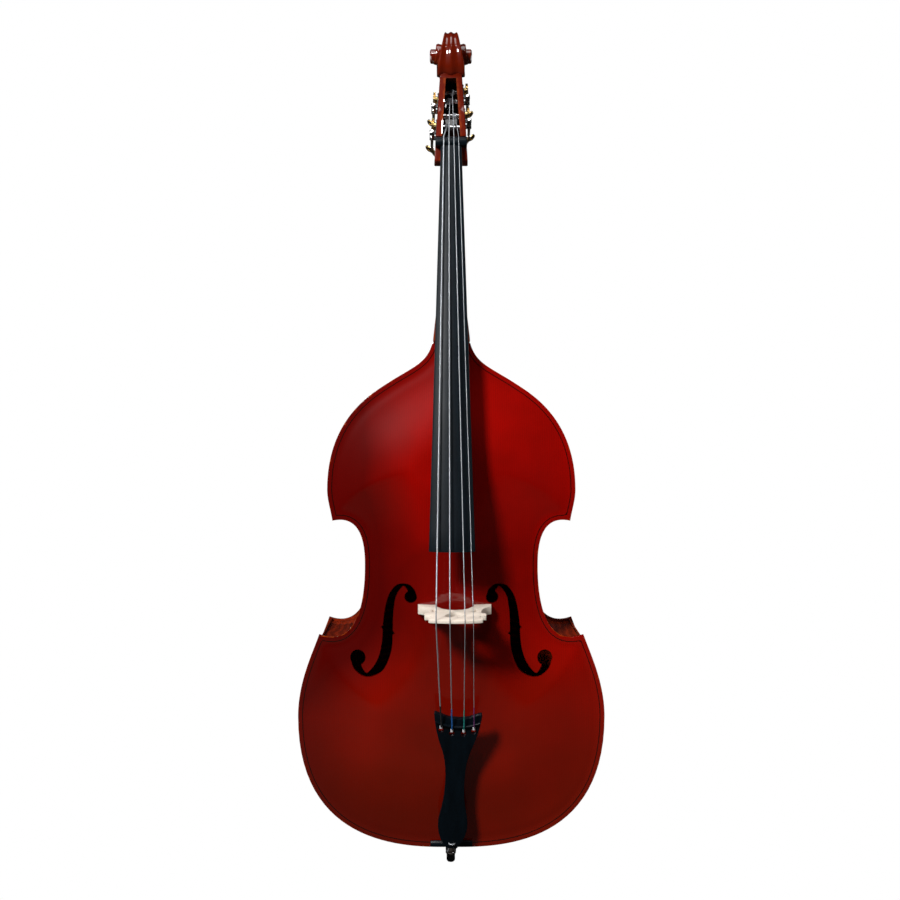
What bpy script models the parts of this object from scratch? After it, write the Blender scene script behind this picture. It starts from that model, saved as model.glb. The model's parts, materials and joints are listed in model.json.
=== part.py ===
"""A three-quarter size double bass: hollow body, neck with a scroll, bridge, strings and tuning machines.

Metres, +Z up the strings, the top plate faces -Y, the origin is the foot of the retracted endpin.
"""

import math

import bmesh
import bpy
from mathutils import Matrix, Vector

GAP = 0.0004  # between pieces that touch

# Body
BODY_BOTTOM = 0.076
BODY_TOP = 1.187
BODY_DEPTH = 0.204
PLATE = 0.0065
RIB = 0.003
OVERHANG = 0.006
TOP_ARCH = 0.028
BACK_ARCH = 0.022
ARCH_REACH = 0.19
FRONT = -BODY_DEPTH / 2
BACK = BODY_DEPTH / 2
LINING = 0.007
LINING_HEIGHT = 0.018
BLOCK_REACH = 0.05

# Half outline, top to bottom on the +X side: knots with the handles between them, (x, z)
UPPER_BOUT = (
    ((0.0415, 1.187), (0.056, 1.137), (0.087, 1.135), (0.1575, 1.087)),
    ((0.1575, 1.087), (0.200, 1.059), (0.2737, 0.999), (0.2737, 0.864)),
    ((0.2737, 0.864), (0.2737, 0.840), (0.2655, 0.818), (0.2622, 0.795)),
)
WAIST = (
    ((0.2622, 0.795), (0.191, 0.811), (0.1904, 0.727), (0.1904, 0.695)),
    ((0.1904, 0.695), (0.1904, 0.640), (0.1984, 0.510), (0.2915, 0.544)),
)
LOWER_BOUT = (
    ((0.2915, 0.544), (0.305, 0.505), (0.3378, 0.440), (0.3378, 0.364)),
    ((0.3378, 0.364), (0.3378, 0.065), (0.080, 0.076), (0.0, 0.076)),
)

# Strings, neck and fittings
NUT_Z = 1.640
NUT_Y = -0.084
BRIDGE_Z = 0.605
CROWN_Y = -0.292
BRIDGE_X = 0.007  # the bridge and the top of the tailpiece stand a little off the centre line
BRIDGE_LEAN = 0.0045
BOARD_END = 0.7445
BOARD_THICK = 0.020
BOARD_HALF = (0.023, 0.048)
STRING_LIFT = (0.004, 0.013)
HEEL_Z = BODY_TOP + 0.0005
TAIL_TOP = (0.0135, -0.204, 0.399)
TAIL_END = (0.0, -0.139, 0.089)
TAIL_THICK = 0.011
# name: radius, x at the nut, x at the bridge, x at the tailpiece
STRINGS = {
    "e": (0.0014, -0.0165, -0.0330, -0.0350),
    "a": (0.00115, -0.0050, -0.0050, -0.0120),
    "d": (0.0009, 0.0060, 0.0255, 0.0130),
    "g": (0.0007, 0.0165, 0.0425, 0.0340),
}

# Tuning machines: string, side, roller height and depth
MACHINES = {
    "e": (-1, 1.686, -0.026),
    "a": (-1, 1.752, -0.008),
    "d": (1, 1.774, -0.002),
    "g": (1, 1.715, -0.016),
}
ROLLER_R = 0.0065
TEETH = 18
PITCH = 0.006
GEAR_R = TEETH * PITCH / (2 * math.pi)
GEAR_THICK = 0.005
WORM_R = 0.0042
WORM_ROOT = 0.0027
WORM_CREST = 0.0055
WORM_HALF = 0.0075
WORM_OUT = 0.0105
WORM_TILT = math.radians(15)
LUG_AT = 0.012
KEY_START = 0.055
KEY_LENGTH = 0.024
KEY_HALF = 0.019
KEY_THICK = 0.0042
KEY_TURN = math.radians(40)  # how each key happens to stand
MACHINE_PLATE = 0.002

# Pegbox: half width outside and inside at two heights
CHEEK_Z = (1.629, 1.781)
CHEEK_HALF = (0.0345, 0.0262)
CAVITY_HALF = (0.0205, 0.0125)
PEGBOX = (
    (-0.0600, 1.600), (-0.0600, 1.6516), (-0.0700, 1.6520), (-0.0600, 1.700), (-0.0505, 1.740),
    (-0.0440, 1.7925), (-0.0540, 1.7985), (-0.0500, 1.815), (-0.0200, 1.850), (0.0150, 1.850),
    (0.0330, 1.826), (0.0340, 1.790), (0.0290, 1.740), (0.0190, 1.700), (0.0000, 1.665),
    (-0.0220, 1.640), (-0.0340, 1.612), (-0.0400, 1.592),
)
CAVITY = (
    (-0.100, 1.6510), (-0.055, 1.6510), (-0.004, 1.682), (0.009, 1.705), (0.017, 1.740), (0.022, 1.789),
    (-0.100, 1.789),
)
SCROLL = (-0.010, 1.853)

BASS = bpy.data.collections.new("double_bass")
CUTTERS = bpy.data.collections.new("cutters")


def material(name, colour, roughness, metallic=0.0):
    made = bpy.data.materials.new(name)
    made.use_nodes = True
    shader = made.node_tree.nodes["Principled BSDF"]
    shader.inputs["Base Color"].default_value = (*colour, 1)
    shader.inputs["Roughness"].default_value = roughness
    shader.inputs["Metallic"].default_value = metallic
    return made


def place(name, data, finish, collection=None):
    made = bpy.data.objects.new(name, data)
    (collection or BASS).objects.link(made)
    if finish:
        data.materials.clear()
        data.materials.append(finish.copy())
        data.materials[0].name = name + "_" + finish.name
    return made


def from_bmesh(name, shape, finish, collection=None):
    bmesh.ops.recalc_face_normals(shape, faces=shape.faces)
    data = bpy.data.meshes.new(name)
    shape.to_mesh(data)
    shape.free()
    return place(name, data, finish, collection)


def smooth(made, angle=35):
    made.data.shade_smooth()
    made.data.set_sharp_from_angle(angle=math.radians(angle))
    return made


def frame_at(centre, along, side=Vector((1, 0, 0))):
    """A matrix whose Z is along and whose X lies nearest to side."""
    z = Vector(along).normalized()
    y = z.cross(side).normalized()
    x = y.cross(z)
    return Matrix.Translation(centre) @ Matrix((x, y, z)).transposed().to_4x4()


def extruded(name, outline, thick, finish, matrix, collection=None):
    """A flat outline of thickness thick, centred on the matrix's XY plane, as one closed mesh."""
    curve = bpy.data.curves.new(name, "CURVE")
    curve.dimensions = "2D"
    curve.fill_mode = "BOTH"
    curve.extrude = thick / 2
    line = curve.splines.new("POLY")
    line.points.add(len(outline) - 1)
    for point, (x, y) in zip(line.points, outline):
        point.co = (x, y, 0, 1)
    line.use_cyclic_u = True
    return baked(name, curve, finish, matrix, collection)


def baked(name, curve, finish, matrix, collection=None):
    """The mesh of a curve, with its caps welded on and its place set by matrix."""
    guide = bpy.data.objects.new(name + "_guide", curve)
    bpy.context.scene.collection.objects.link(guide)
    graph = bpy.context.evaluated_depsgraph_get()
    data = bpy.data.meshes.new_from_object(guide.evaluated_get(graph))
    bpy.data.objects.remove(guide)
    shape = bmesh.new()
    shape.from_mesh(data)
    bmesh.ops.remove_doubles(shape, verts=shape.verts, dist=0.00001)
    bmesh.ops.recalc_face_normals(shape, faces=shape.faces)
    shape.to_mesh(data)
    shape.free()
    data.name = name
    made = place(name, data, finish, collection)
    made.matrix_world = matrix
    return made


def upright(y):
    """Stands an XY outline up in the XZ plane at depth y."""
    return Matrix.Translation((0, y, 0)) @ Matrix.Rotation(math.pi / 2, 4, "X")


def turned(name, profile, matrix, finish, steps=24, collection=None):
    """A solid of revolution about the matrix's Z: profile is (radius, height), from the top down."""
    points = [(0, profile[0][1]), *profile, (0, profile[-1][1])]
    data = bpy.data.meshes.new(name)
    edges = [(i, i + 1) for i in range(len(points) - 1)]
    data.from_pydata([(r, 0, z) for r, z in points], edges, [])
    made = place(name, data, finish, collection)
    made.matrix_world = matrix
    screw = made.modifiers.new("Turn", "SCREW")
    screw.steps = steps
    screw.render_steps = steps
    screw.use_merge_vertices = True
    screw.merge_threshold = 0.00001
    screw.use_smooth_shade = False
    return made


def tube(name, points, radius, finish, sides=2, ring=False):
    curve = bpy.data.curves.new(name, "CURVE")
    curve.dimensions = "3D"
    curve.bevel_depth = radius
    curve.bevel_resolution = sides
    curve.use_fill_caps = True
    line = curve.splines.new("POLY")
    line.points.add(len(points) - 1)
    for point, place_of in zip(line.points, points):
        point.co = (*place_of, 1)
    line.use_cyclic_u = ring
    return place(name, curve, finish)


def boolean(made, other, operation="DIFFERENCE"):
    step = made.modifiers.new(operation.title(), "BOOLEAN")
    step.operation = operation
    step.object = other
    other.hide_render = True
    other.display_type = "WIRE"
    return made


def cutter_rod(name, radius, length, matrix, steps=16):
    return turned(name, [(radius, length / 2), (radius, -length / 2)], matrix, None, steps, CUTTERS)


# ---- outlines

def bezier(knots, steps):
    a, b, c, d = (Vector(point) for point in knots)
    points = []
    for i in range(steps):
        t = i / steps
        u = 1 - t
        points.append(a * u**3 + b * 3 * u * u * t + c * 3 * u * t * t + d * t**3)
    return points


def run(segments, steps):
    points = [point for knots in segments for point in bezier(knots, steps)]
    return [*points, Vector(segments[-1][-1])]


def inset(points, distance):
    """The run moved towards the inside of the body, which lies on its right going down."""
    moved = []
    for i, point in enumerate(points):
        before = points[max(i - 1, 0)]
        after = points[min(i + 1, len(points) - 1)]
        ahead = (after - before).normalized()
        moved.append(point + Vector((ahead.y, -ahead.x)) * distance)
    return moved


def crossing(first, second):
    """Where two runs cross: the point and the index of the segment in each."""
    for i in range(len(first) - 1):
        for j in range(len(second) - 1):
            a, b = first[i], first[i + 1] - first[i]
            c, d = second[j], second[j + 1] - second[j]
            cross = b.x * d.y - b.y * d.x
            if abs(cross) < 1e-12:
                continue
            s = ((c.x - a.x) * d.y - (c.y - a.y) * d.x) / cross
            t = ((c.x - a.x) * b.y - (c.y - a.y) * b.x) / cross
            if 0 <= s <= 1 and 0 <= t <= 1:
                return a + b * s, i, j
    return None


def through(points, steps, closed=False):
    """A smooth run of points that passes through each given one."""
    points = [Vector(point) for point in points]
    count = len(points)
    made = []
    for i in range(count if closed else count - 1):
        p = [points[(i + k) % count] if closed else points[min(max(i + k, 0), count - 1)] for k in (-1, 0, 1, 2)]
        for j in range(steps):
            t = j / steps
            made.append(
                p[1]
                + (p[2] - p[0]) * (t / 2)
                + (p[0] * 2 - p[1] * 5 + p[2] * 4 - p[3]) * (t * t / 2)
                + (p[1] * 3 - p[0] - p[2] * 3 + p[3]) * (t**3 / 2)
            )
    return made if closed else [*made, points[-1]]


def mirrored(points):
    return [Vector((-point.x, point.y)) for point in points]


UPPER = run(UPPER_BOUT, 7)
MIDDLE = run(WAIST, 9)
LOWER = run(LOWER_BOUT, 12)
HALF = [*UPPER, *MIDDLE[1:], *LOWER[1:]]
OUTLINE = [*HALF, *reversed(mirrored(HALF[:-1]))]


def edge_distance(x, z):
    """How far a point of the body is from its nearest edge."""
    place_of = Vector((abs(x), z))
    nearest = 1.0
    for a, b in zip(HALF, HALF[1:]):
        side = b - a
        share = min(max((place_of - a).dot(side) / side.length_squared, 0), 1)
        nearest = min(nearest, (place_of - a - side * share).length)
    return nearest


def arch(x, z, height):
    """How far a plate swells out over its edge."""
    share = min(edge_distance(x, z) / ARCH_REACH, 1)
    return height * share * share * (3 - 2 * share)


# ---- body

def plate(name, edge_y, outward, height, cell, finish):
    """An arched plate: the outline cut into a grid, swelled and given its thickness."""
    shape = bmesh.new()
    shape.faces.new([shape.verts.new((point.x, edge_y, point.y)) for point in OUTLINE])
    for axis, low, high in ((Vector((1, 0, 0)), -0.36, 0.36), (Vector((0, 0, 1)), 0, 1.2)):
        for i in range(1, round((high - low) / cell)):
            cut = axis * (low + cell * i)
            everything = [*shape.verts, *shape.edges, *shape.faces]
            bmesh.ops.bisect_plane(shape, geom=everything, plane_co=cut, plane_no=axis, dist=0.0005)
    for vert in shape.verts:
        vert.co.y += outward * arch(vert.co.x, vert.co.z, height) - outward * PLATE / 2
    made = from_bmesh(name, shape, finish)
    wall = made.modifiers.new("Wall", "SOLIDIFY")
    wall.thickness = PLATE
    wall.offset = 0
    return made


def sound_hole(side):
    """Cutters for one f-hole: the stem with its two hooks, and the two eyes."""
    outer = ((0.0775, 0.631), (0.085, 0.651), (0.106, 0.6585), (0.1365, 0.635), (0.149, 0.580),
             (0.152, 0.534), (0.167, 0.482), (0.184, 0.464), (0.199, 0.483))
    inner = ((0.220, 0.494), (0.2145, 0.4725), (0.1825, 0.4545), (0.150, 0.469), (0.1305, 0.518),
             (0.128, 0.580), (0.125, 0.612), (0.117, 0.638), (0.106, 0.652), (0.096, 0.640))
    outline = [*through(outer, 3), *through(inner, 3)]
    label = "left" if side < 0 else "right"
    front = FRONT - TOP_ARCH / 2
    outline = outline if side > 0 else mirrored(outline)
    made = [extruded("f_stem_" + label, outline, 0.06, None, upright(front), CUTTERS)]
    for eye, radius, x, z in (("upper", 0.0136, 0.089, 0.630), ("lower", 0.0168, 0.2054, 0.4955)):
        centre = frame_at((side * x, front, z), (0, -1, 0))
        made.append(cutter_rod(f"f_{eye}_eye_{label}", radius, 0.062, centre, 18))
    return made


def strip(name, line, thick, low, high, finish):
    """A band that stands on a run: thick about it, from depth low to high."""
    outline = [*inset(line, -thick / 2), *reversed(inset(line, thick / 2))]
    return extruded(name, outline, high - low, finish, upright((low + high) / 2))


def sides(side, wood):
    """The ribs of one side: the upper and the lower run to their corners, the middle ends on them."""
    label = "left" if side < 0 else "right"
    middle_line = OVERHANG + RIB / 2
    clear = middle_line + RIB + GAP
    low, high = FRONT + PLATE + GAP, BACK - PLATE - GAP
    upper = inset(UPPER, middle_line)
    lower = inset(LOWER, middle_line)
    lower[-1].x = GAP / 2
    middle = inset(MIDDLE, middle_line)
    middle_top, _, top_index = crossing(inset(UPPER, clear), middle)
    middle_end, _, end_index = crossing(inset(LOWER, clear), middle)
    middle = [middle_top, *middle[top_index + 1 : end_index + 1], middle_end]
    for name, line in (("upper_rib_", upper), ("waist_rib_", middle), ("lower_rib_", lower)):
        line = line if side > 0 else mirrored(line)
        strip(name + label, line, RIB, low, high, wood)


def inner_line(distance):
    """The run inside the ribs that passes the corners on the inside of their blocks."""
    corners = (UPPER[-1], LOWER[0])
    line = []
    for points in (UPPER, MIDDLE, LOWER):
        for point, moved in zip(points, inset(points, distance)):
            if min((point - corner).length for corner in corners) > BLOCK_REACH:
                line.append(moved)
    return line


def corner_block(name, outer, following, side, at_start, wood):
    """The block behind a corner, between the two ribs and the linings."""
    distance = OVERHANG + RIB + GAP * 2
    first = inset(outer, distance)
    second = inset(following, distance)
    corner = following[0] if at_start else outer[-1]
    point, i, j = crossing(first, second)
    along = [*first[: i + 1], point, *second[j + 1 :]]
    reach = BLOCK_REACH - 0.012
    outline = [spot for spot in along if (spot - corner).length < reach]
    outline = outline if side > 0 else mirrored(outline)
    low, high = FRONT + PLATE + GAP, BACK - PLATE - GAP
    return extruded(name, outline, high - low, wood, upright((low + high) / 2))


def body(spruce, maple, inside):
    top = plate("top_plate", FRONT, -1, TOP_ARCH, 0.06, spruce)
    for side in (-1, 1):
        for cutter in sound_hole(side):
            boolean(top, cutter)
    plate("back_plate", BACK, 1, BACK_ARCH, 0.08, maple)
    low, high = FRONT + PLATE + GAP, BACK - PLATE - GAP
    for side, label in ((-1, "left"), (1, "right")):
        sides(side, maple)
        corner_block("upper_block_" + label, UPPER, MIDDLE, side, False, inside)
        corner_block("lower_block_" + label, MIDDLE, LOWER, side, True, inside)
        line = inner_line(OVERHANG + RIB + GAP * 3 + LINING / 2)
        line = [point for point in line if point.y < 1.135 and point.x > 0.075]
        line = line if side > 0 else mirrored(line)
        strip("top_lining_" + label, line, LINING, low, low + LINING_HEIGHT, inside)
        strip("back_lining_" + label, line, LINING, high - LINING_HEIGHT, high, inside)
    half = UPPER[0].x - OVERHANG - RIB - GAP * 2
    shoulders = [point for point in inset(UPPER, OVERHANG + RIB + GAP * 2) if point.y > 1.142]
    block = [Vector((half, shoulders[0].y)), *shoulders[1:]]
    block = [*block, *reversed(mirrored(block))]
    extruded("neck_block", block, high - low, inside, upright((low + high) / 2))
    rim = [point for point in inset(LOWER, OVERHANG + RIB + GAP * 2) if point.x < 0.068]
    block = [Vector((rim[0].x, 0.118)), *rim, *reversed(mirrored(rim[:-1])), Vector((-rim[0].x, 0.118))]
    end_block = extruded("end_block", block, high - low, inside, upright((low + high) / 2))
    hole = cutter_rod("plug_hole", 0.0165, 0.1, Matrix.Translation((0, 0, 0.095)))
    boolean(end_block, hole)
    for label in ("left", "right"):
        boolean(bpy.data.objects["lower_rib_" + label], hole)
    bar_x = -0.042
    stations = [0.36 + 0.0575 * i for i in range(11)]
    clear = PLATE + 0.0018

    def beneath(z):
        return FRONT + clear - min(arch(bar_x + dx, z, TOP_ARCH) for dx in (-0.01, 0.01))

    front = [Vector((beneath(z), z)) for z in stations]
    depth = [0.012 + 0.022 * math.sin(math.pi * i / 10) for i in range(11)]
    rear = [Vector((point.x + deep, point.y)) for point, deep in zip(front, depth)]
    matrix = Matrix.Translation((bar_x, 0, 0)) @ Matrix(((0, 0, 1, 0), (1, 0, 0, 0), (0, 1, 0, 0), (0, 0, 0, 1)))
    extruded("bass_bar", [*front, *reversed(rear)], 0.02, inside, matrix)
    post_x, post_z = 0.046, 0.572
    start = FRONT + clear - arch(post_x, post_z, TOP_ARCH)
    end = BACK - clear + arch(post_x, post_z, BACK_ARCH)
    profile = [(0.009, (end - start) / 2), (0.009, (start - end) / 2)]
    turned("sound_post", profile, frame_at((post_x, (start + end) / 2, post_z), (0, 1, 0)), inside, 16)


# ---- neck, board and nut

def string_y(z):
    return NUT_Y + (CROWN_Y - NUT_Y) * (NUT_Z - z) / (NUT_Z - BRIDGE_Z)


def board_y(z):
    """The crown of the fingerboard."""
    share = (NUT_Z - z) / (NUT_Z - BOARD_END)
    return string_y(z) + STRING_LIFT[0] + (STRING_LIFT[1] - STRING_LIFT[0]) * share


def loft(name, sections, finish):
    """A closed skin over rings of equally many points."""
    shape = bmesh.new()
    rings = [[shape.verts.new(point) for point in ring] for ring in sections]
    for low, high in zip(rings, rings[1:]):
        for i in range(len(low)):
            j = (i + 1) % len(low)
            shape.faces.new((low[i], low[j], high[j], high[i]))
    shape.faces.new(rings[0])
    shape.faces.new(rings[-1])
    return from_bmesh(name, shape, finish)


def tapered(made, heights, halves):
    """Narrows a piece that was extruded one metre wide about X to a half width that follows its height."""
    matrix = made.matrix_world.copy()
    for vert in made.data.vertices:
        spot = matrix @ vert.co
        share = (spot.z - heights[0]) / (heights[1] - heights[0])
        half = halves[0] + (halves[1] - halves[0]) * share
        spot.x = math.copysign(half, spot.x)
        vert.co = spot
    made.matrix_world = Matrix.Identity(4)
    return made


SIDEWAYS = Matrix(((0, 0, 1, 0), (1, 0, 0, 0), (0, 1, 0, 0), (0, 0, 0, 1)))


def shaft_ring(z, half, depth):
    """A section of the neck: flat under the board, round behind."""
    front = board_y(z) + BOARD_THICK + GAP
    turn = [math.pi * i / 10 for i in range(11)]
    return [(half * math.cos(a), front + depth * math.sin(a) ** 0.8, z) for a in turn]


def neck(maple):
    deep = BACK - PLATE - board_y(HEEL_Z) - BOARD_THICK
    stations = (
        (HEEL_Z, 0.040, deep), (1.204, 0.0385, deep - 0.010), (1.222, 0.0365, 0.125), (1.240, 0.0345, 0.075),
        (1.262, 0.0325, 0.046), (1.300, 0.0300, 0.033), (1.420, 0.0260, 0.029), (1.600, 0.0220, 0.026),
        (1.6285, 0.0215, 0.026),
    )
    shaft = loft("neck", [shaft_ring(*station) for station in stations], maple)
    pegbox = tapered(extruded("pegbox", PEGBOX, 1, None, SIDEWAYS, CUTTERS), CHEEK_Z, CHEEK_HALF)
    boolean(shaft, pegbox, "UNION")
    ear = [(0.0135, 0.0483), (0.0158, 0.0465), (0.0165, 0.038), (0.0185, 0.0350), (0.029, 0.0330),
           (0.0310, 0.0290), (0.0325, 0.0255), (0.0505, 0.0215), (0.0525, 0.0175)]
    profile = [*ear, *[(r, -x) for r, x in reversed(ear)]]
    eyes = turned("scroll", profile, frame_at((0, *SCROLL), (1, 0, 0), Vector((0, 1, 0))), None, 28, CUTTERS)
    boolean(shaft, eyes, "UNION")
    hollow = tapered(extruded("pegbox_hollow", CAVITY, 1, None, SIDEWAYS, CUTTERS), CHEEK_Z, CAVITY_HALF)
    boolean(shaft, hollow)
    return shaft


def board(ebony):
    """The fingerboard: a crowned top over a flat back, wider towards the body."""
    sections = []
    for i in range(7):
        z = BOARD_END + (NUT_Z - 0.0115 - BOARD_END) * i / 6
        share = (NUT_Z - z) / (NUT_Z - BOARD_END)
        half = BOARD_HALF[0] + (BOARD_HALF[1] - BOARD_HALF[0]) * share
        crown = 0.006 + 0.004 * share
        across = [half * (1 - 2 * k / 8) for k in range(9)]
        top = [(x, board_y(z) + crown * (x / half) ** 2, z) for x in across]
        back = board_y(z) + BOARD_THICK
        sections.append([*top, (-half, back, z), (half, back, z)])
    loft("fingerboard", sections, ebony)


def nut(ebony):
    half = CHEEK_HALF[0] - 0.0003
    low, high = NUT_Z - 0.011, NUT_Z + 0.011
    crest = NUT_Y + 0.0018
    outline = ((crest + 0.004, low), (crest, low + 0.007), (crest, low + 0.012), (crest + 0.0125, high),
               (-0.0604, high), (-0.0604, low))
    block = extruded("nut", outline, 2 * half, ebony, SIDEWAYS)
    edge = block.modifiers.new("Edge", "BEVEL")
    edge.width = 0.001
    edge.segments = 1
    edge.limit_method = "ANGLE"


# ---- bridge, tailpiece, strings

def crest(x):
    """The depth of the bridge's crowned edge."""
    return CROWN_Y + 0.0015 + 0.012 * ((x - BRIDGE_X) / 0.055) ** 2


def under(x):
    """The depth that a bridge foot reaches at x."""
    return FRONT - GAP - max(arch(x, BRIDGE_Z + dz, TOP_ARCH) for dz in (-0.012, 0, 0.012))


def bridge(bare):
    """The bridge: an outline in XY, thick at the feet and thin at the crown."""
    side = (
        (0.0575, 0.030), (0.050, 0.040), (0.052, 0.052), (0.063, 0.056), (0.064, 0.072), (0.055, 0.082),
        (0.057, 0.110), (0.066, 0.132), (0.079, 0.146),
    )
    leg = ((0.041, 0.149), (0.034, 0.140), (0.028, 0.122), (0.015, 0.110))
    crown = [(BRIDGE_X + x, crest(BRIDGE_X + x)) for x in (-0.055, -0.036, -0.018, 0, 0.018, 0.036, 0.055)]

    def half(way):
        outer = [(BRIDGE_X + way * x, CROWN_Y + y) for x, y in side]
        sole = [(BRIDGE_X + way * x, under(BRIDGE_X + way * x)) for x in (0.0805, 0.066, 0.052, 0.041)]
        inner = [(BRIDGE_X + way * x, CROWN_Y + y) for x, y in leg]
        return [*outer, *sole, *inner]

    outline = [*crown, *half(1), (BRIDGE_X, CROWN_Y + 0.107), *reversed(half(-1))]
    made = extruded("bridge", outline, 1, bare, Matrix.Translation((0, 0, BRIDGE_Z)))
    for vert in made.data.vertices:
        height = max((FRONT - vert.co.y) / (FRONT - CROWN_Y), 0)
        vert.co.z = math.copysign(0.0105 - 0.0075 * height, vert.co.z) + BRIDGE_LEAN * height
    heart = [(0.0, 0.050), (0.012, 0.040), (0.020, 0.050), (0.014, 0.066), (0.0, 0.080),
             (-0.014, 0.066), (-0.020, 0.050), (-0.012, 0.040)]
    heart = [(BRIDGE_X + x, CROWN_Y + y) for x, y in heart]
    boolean(made, extruded("bridge_heart", heart, 0.05, None, Matrix.Translation((0, 0, BRIDGE_Z)), CUTTERS))
    for side_of in (-1, 1):
        centre = frame_at((BRIDGE_X + side_of * 0.041, CROWN_Y + 0.098, BRIDGE_Z), (0, 0, 1))
        boolean(made, cutter_rod(f"bridge_eye_{side_of + 1}", 0.007, 0.05, centre, 10))


def tail_frame():
    """A matrix on the tailpiece's top end: Y runs up it, Z leaves its face to the front."""
    top = Vector(TAIL_TOP)
    up = (top - Vector(TAIL_END)).normalized()
    face = Vector((1, 0, 0)).cross(up).normalized()
    turn = Matrix((up.cross(face), up, face)).transposed()
    return Matrix.Translation(top) @ turn.to_4x4()


def tail_spot(x, down, out=0.0):
    return tail_frame() @ Vector((x, -down, out))


def tail_length():
    return (Vector(TAIL_TOP) - Vector(TAIL_END)).length


def string_hole(name):
    """Where a string enters the tailpiece: x and the distance down it."""
    x = STRINGS[name][3]
    return x, 0.036 + 0.010 * (1 - abs(x) / 0.034)


def tailpiece(ebony):
    length = tail_length()
    half = ((0.0, -0.011), (0.020, -0.009), (0.038, -0.003), (0.0485, 0.001), (0.0505, -0.003), (0.0480, -0.020),
            (0.0440, -0.040), (0.0360, -0.068), (0.0270, -0.095), (0.0222, -0.120), (0.0205, -0.155),
            (0.0220, -0.195), (0.0270, -0.226), (0.0318, -0.255), (0.0300, -0.280), (0.0230, -0.298),
            (0.0115, -length))
    outline = [*half, *[(-x, y) for x, y in reversed(half[1:])]]
    under = tail_frame() @ Matrix.Translation((0, 0, -TAIL_THICK / 2))
    made = extruded("tailpiece", outline, TAIL_THICK, ebony, under)
    edge = made.modifiers.new("Edge", "BEVEL")
    edge.width = 0.002
    edge.segments = 1
    edge.limit_method = "ANGLE"
    edge.angle_limit = math.radians(60)
    for name in STRINGS:
        x, down = string_hole(name)
        hole = frame_at(tail_spot(x, down, -TAIL_THICK / 2), tail_frame().to_3x3() @ Vector((0, 0, 1)))
        boolean(made, cutter_rod("string_hole_" + name, 0.0042, 0.03, hole, 10))
    slot = tail_frame() @ Matrix.Translation((0, 0.012 - length, -TAIL_THICK / 2))
    for side in (-1, 1):
        across = slot @ Matrix.Translation((side * 0.006, 0, 0))
        boolean(made, cutter_rod(f"cable_hole_{side + 1}", 0.0026, 0.03, across, 8))
    bar = [(x, y - 0.0145) for x, y in ((-0.0465, 0), (-0.024, -0.0085), (0, -0.011), (0.024, -0.0085), (0.0465, 0))]
    bar = [*bar, *[(x, y - 0.006) for x, y in reversed(bar)]]
    extruded("tailpiece_fret", bar, 0.005, ebony, tail_frame() @ Matrix.Translation((0, 0, 0.0025 + GAP)))


def tail_cable(steel):
    """The wire that ties the tailpiece to the endpin: up one hole, round the end and down the other."""
    length = tail_length()
    low = BODY_BOTTOM - 0.0100
    spots = []
    for side in (-1, 1):
        spots.append([
            Vector((side * 0.0100, 0.0112, low)),
            Vector((side * 0.0130, -0.010, low)),
            Vector((side * 0.0085, FRONT - 0.004, low)),
            Vector((side * 0.006, FRONT - 0.0115, BODY_BOTTOM - 0.001)),
            Vector((side * 0.006, FRONT - 0.0115, BODY_BOTTOM + 0.013)),
            tail_spot(side * 0.006, length - 0.012, -TAIL_THICK - 0.004),
            tail_spot(side * 0.006, length - 0.012, 0.004),
        ])
    tube("tail_cable", [*spots[0], *reversed(spots[1])], 0.0016, steel, 1, True)


def strings(steel):
    for name, (radius, nut_x, bridge_x, _) in STRINGS.items():
        hole_x, down = string_hole(name)
        side, roller_z, roller_y = MACHINES[name]
        crown = crest(bridge_x) - radius - GAP
        lift = NUT_Y + 0.0018 - radius - GAP
        roller_x = nut_x * 0.55
        bar = 0.0195 + 0.0085 * (1 - abs(hole_x) / 0.0465)
        points = [
            (roller_x, roller_y - ROLLER_R - radius - GAP * 2, roller_z),
            (nut_x, lift + 0.0012, NUT_Z + 0.004),
            (nut_x, lift, NUT_Z),
            (nut_x, lift, NUT_Z - 0.004),
            (bridge_x, crown, BRIDGE_Z + BRIDGE_LEAN + 0.003),
            (bridge_x, crown, BRIDGE_Z + BRIDGE_LEAN - 0.003),
            tail_spot(hole_x, bar - 0.004, 0.005 + radius + GAP * 2),
            tail_spot(hole_x, bar + 0.005, 0.005 + radius + GAP * 2),
            tail_spot(hole_x, down - 0.001, radius),
            tail_spot(hole_x, down, -0.007),
        ]
        tube("string_" + name, points, radius, steel, 1)


def saddle(ebony):
    low, high = BODY_BOTTOM + 0.004, BODY_BOTTOM + 0.0165
    rear, front = FRONT - 0.0018, FRONT - 0.0092
    outline = ((rear, low), (front + 0.002, low), (front, low + 0.004), (front + 0.003, high), (rear, high))
    extruded("saddle", outline, 0.092, ebony, SIDEWAYS)


# ---- endpin

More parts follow.
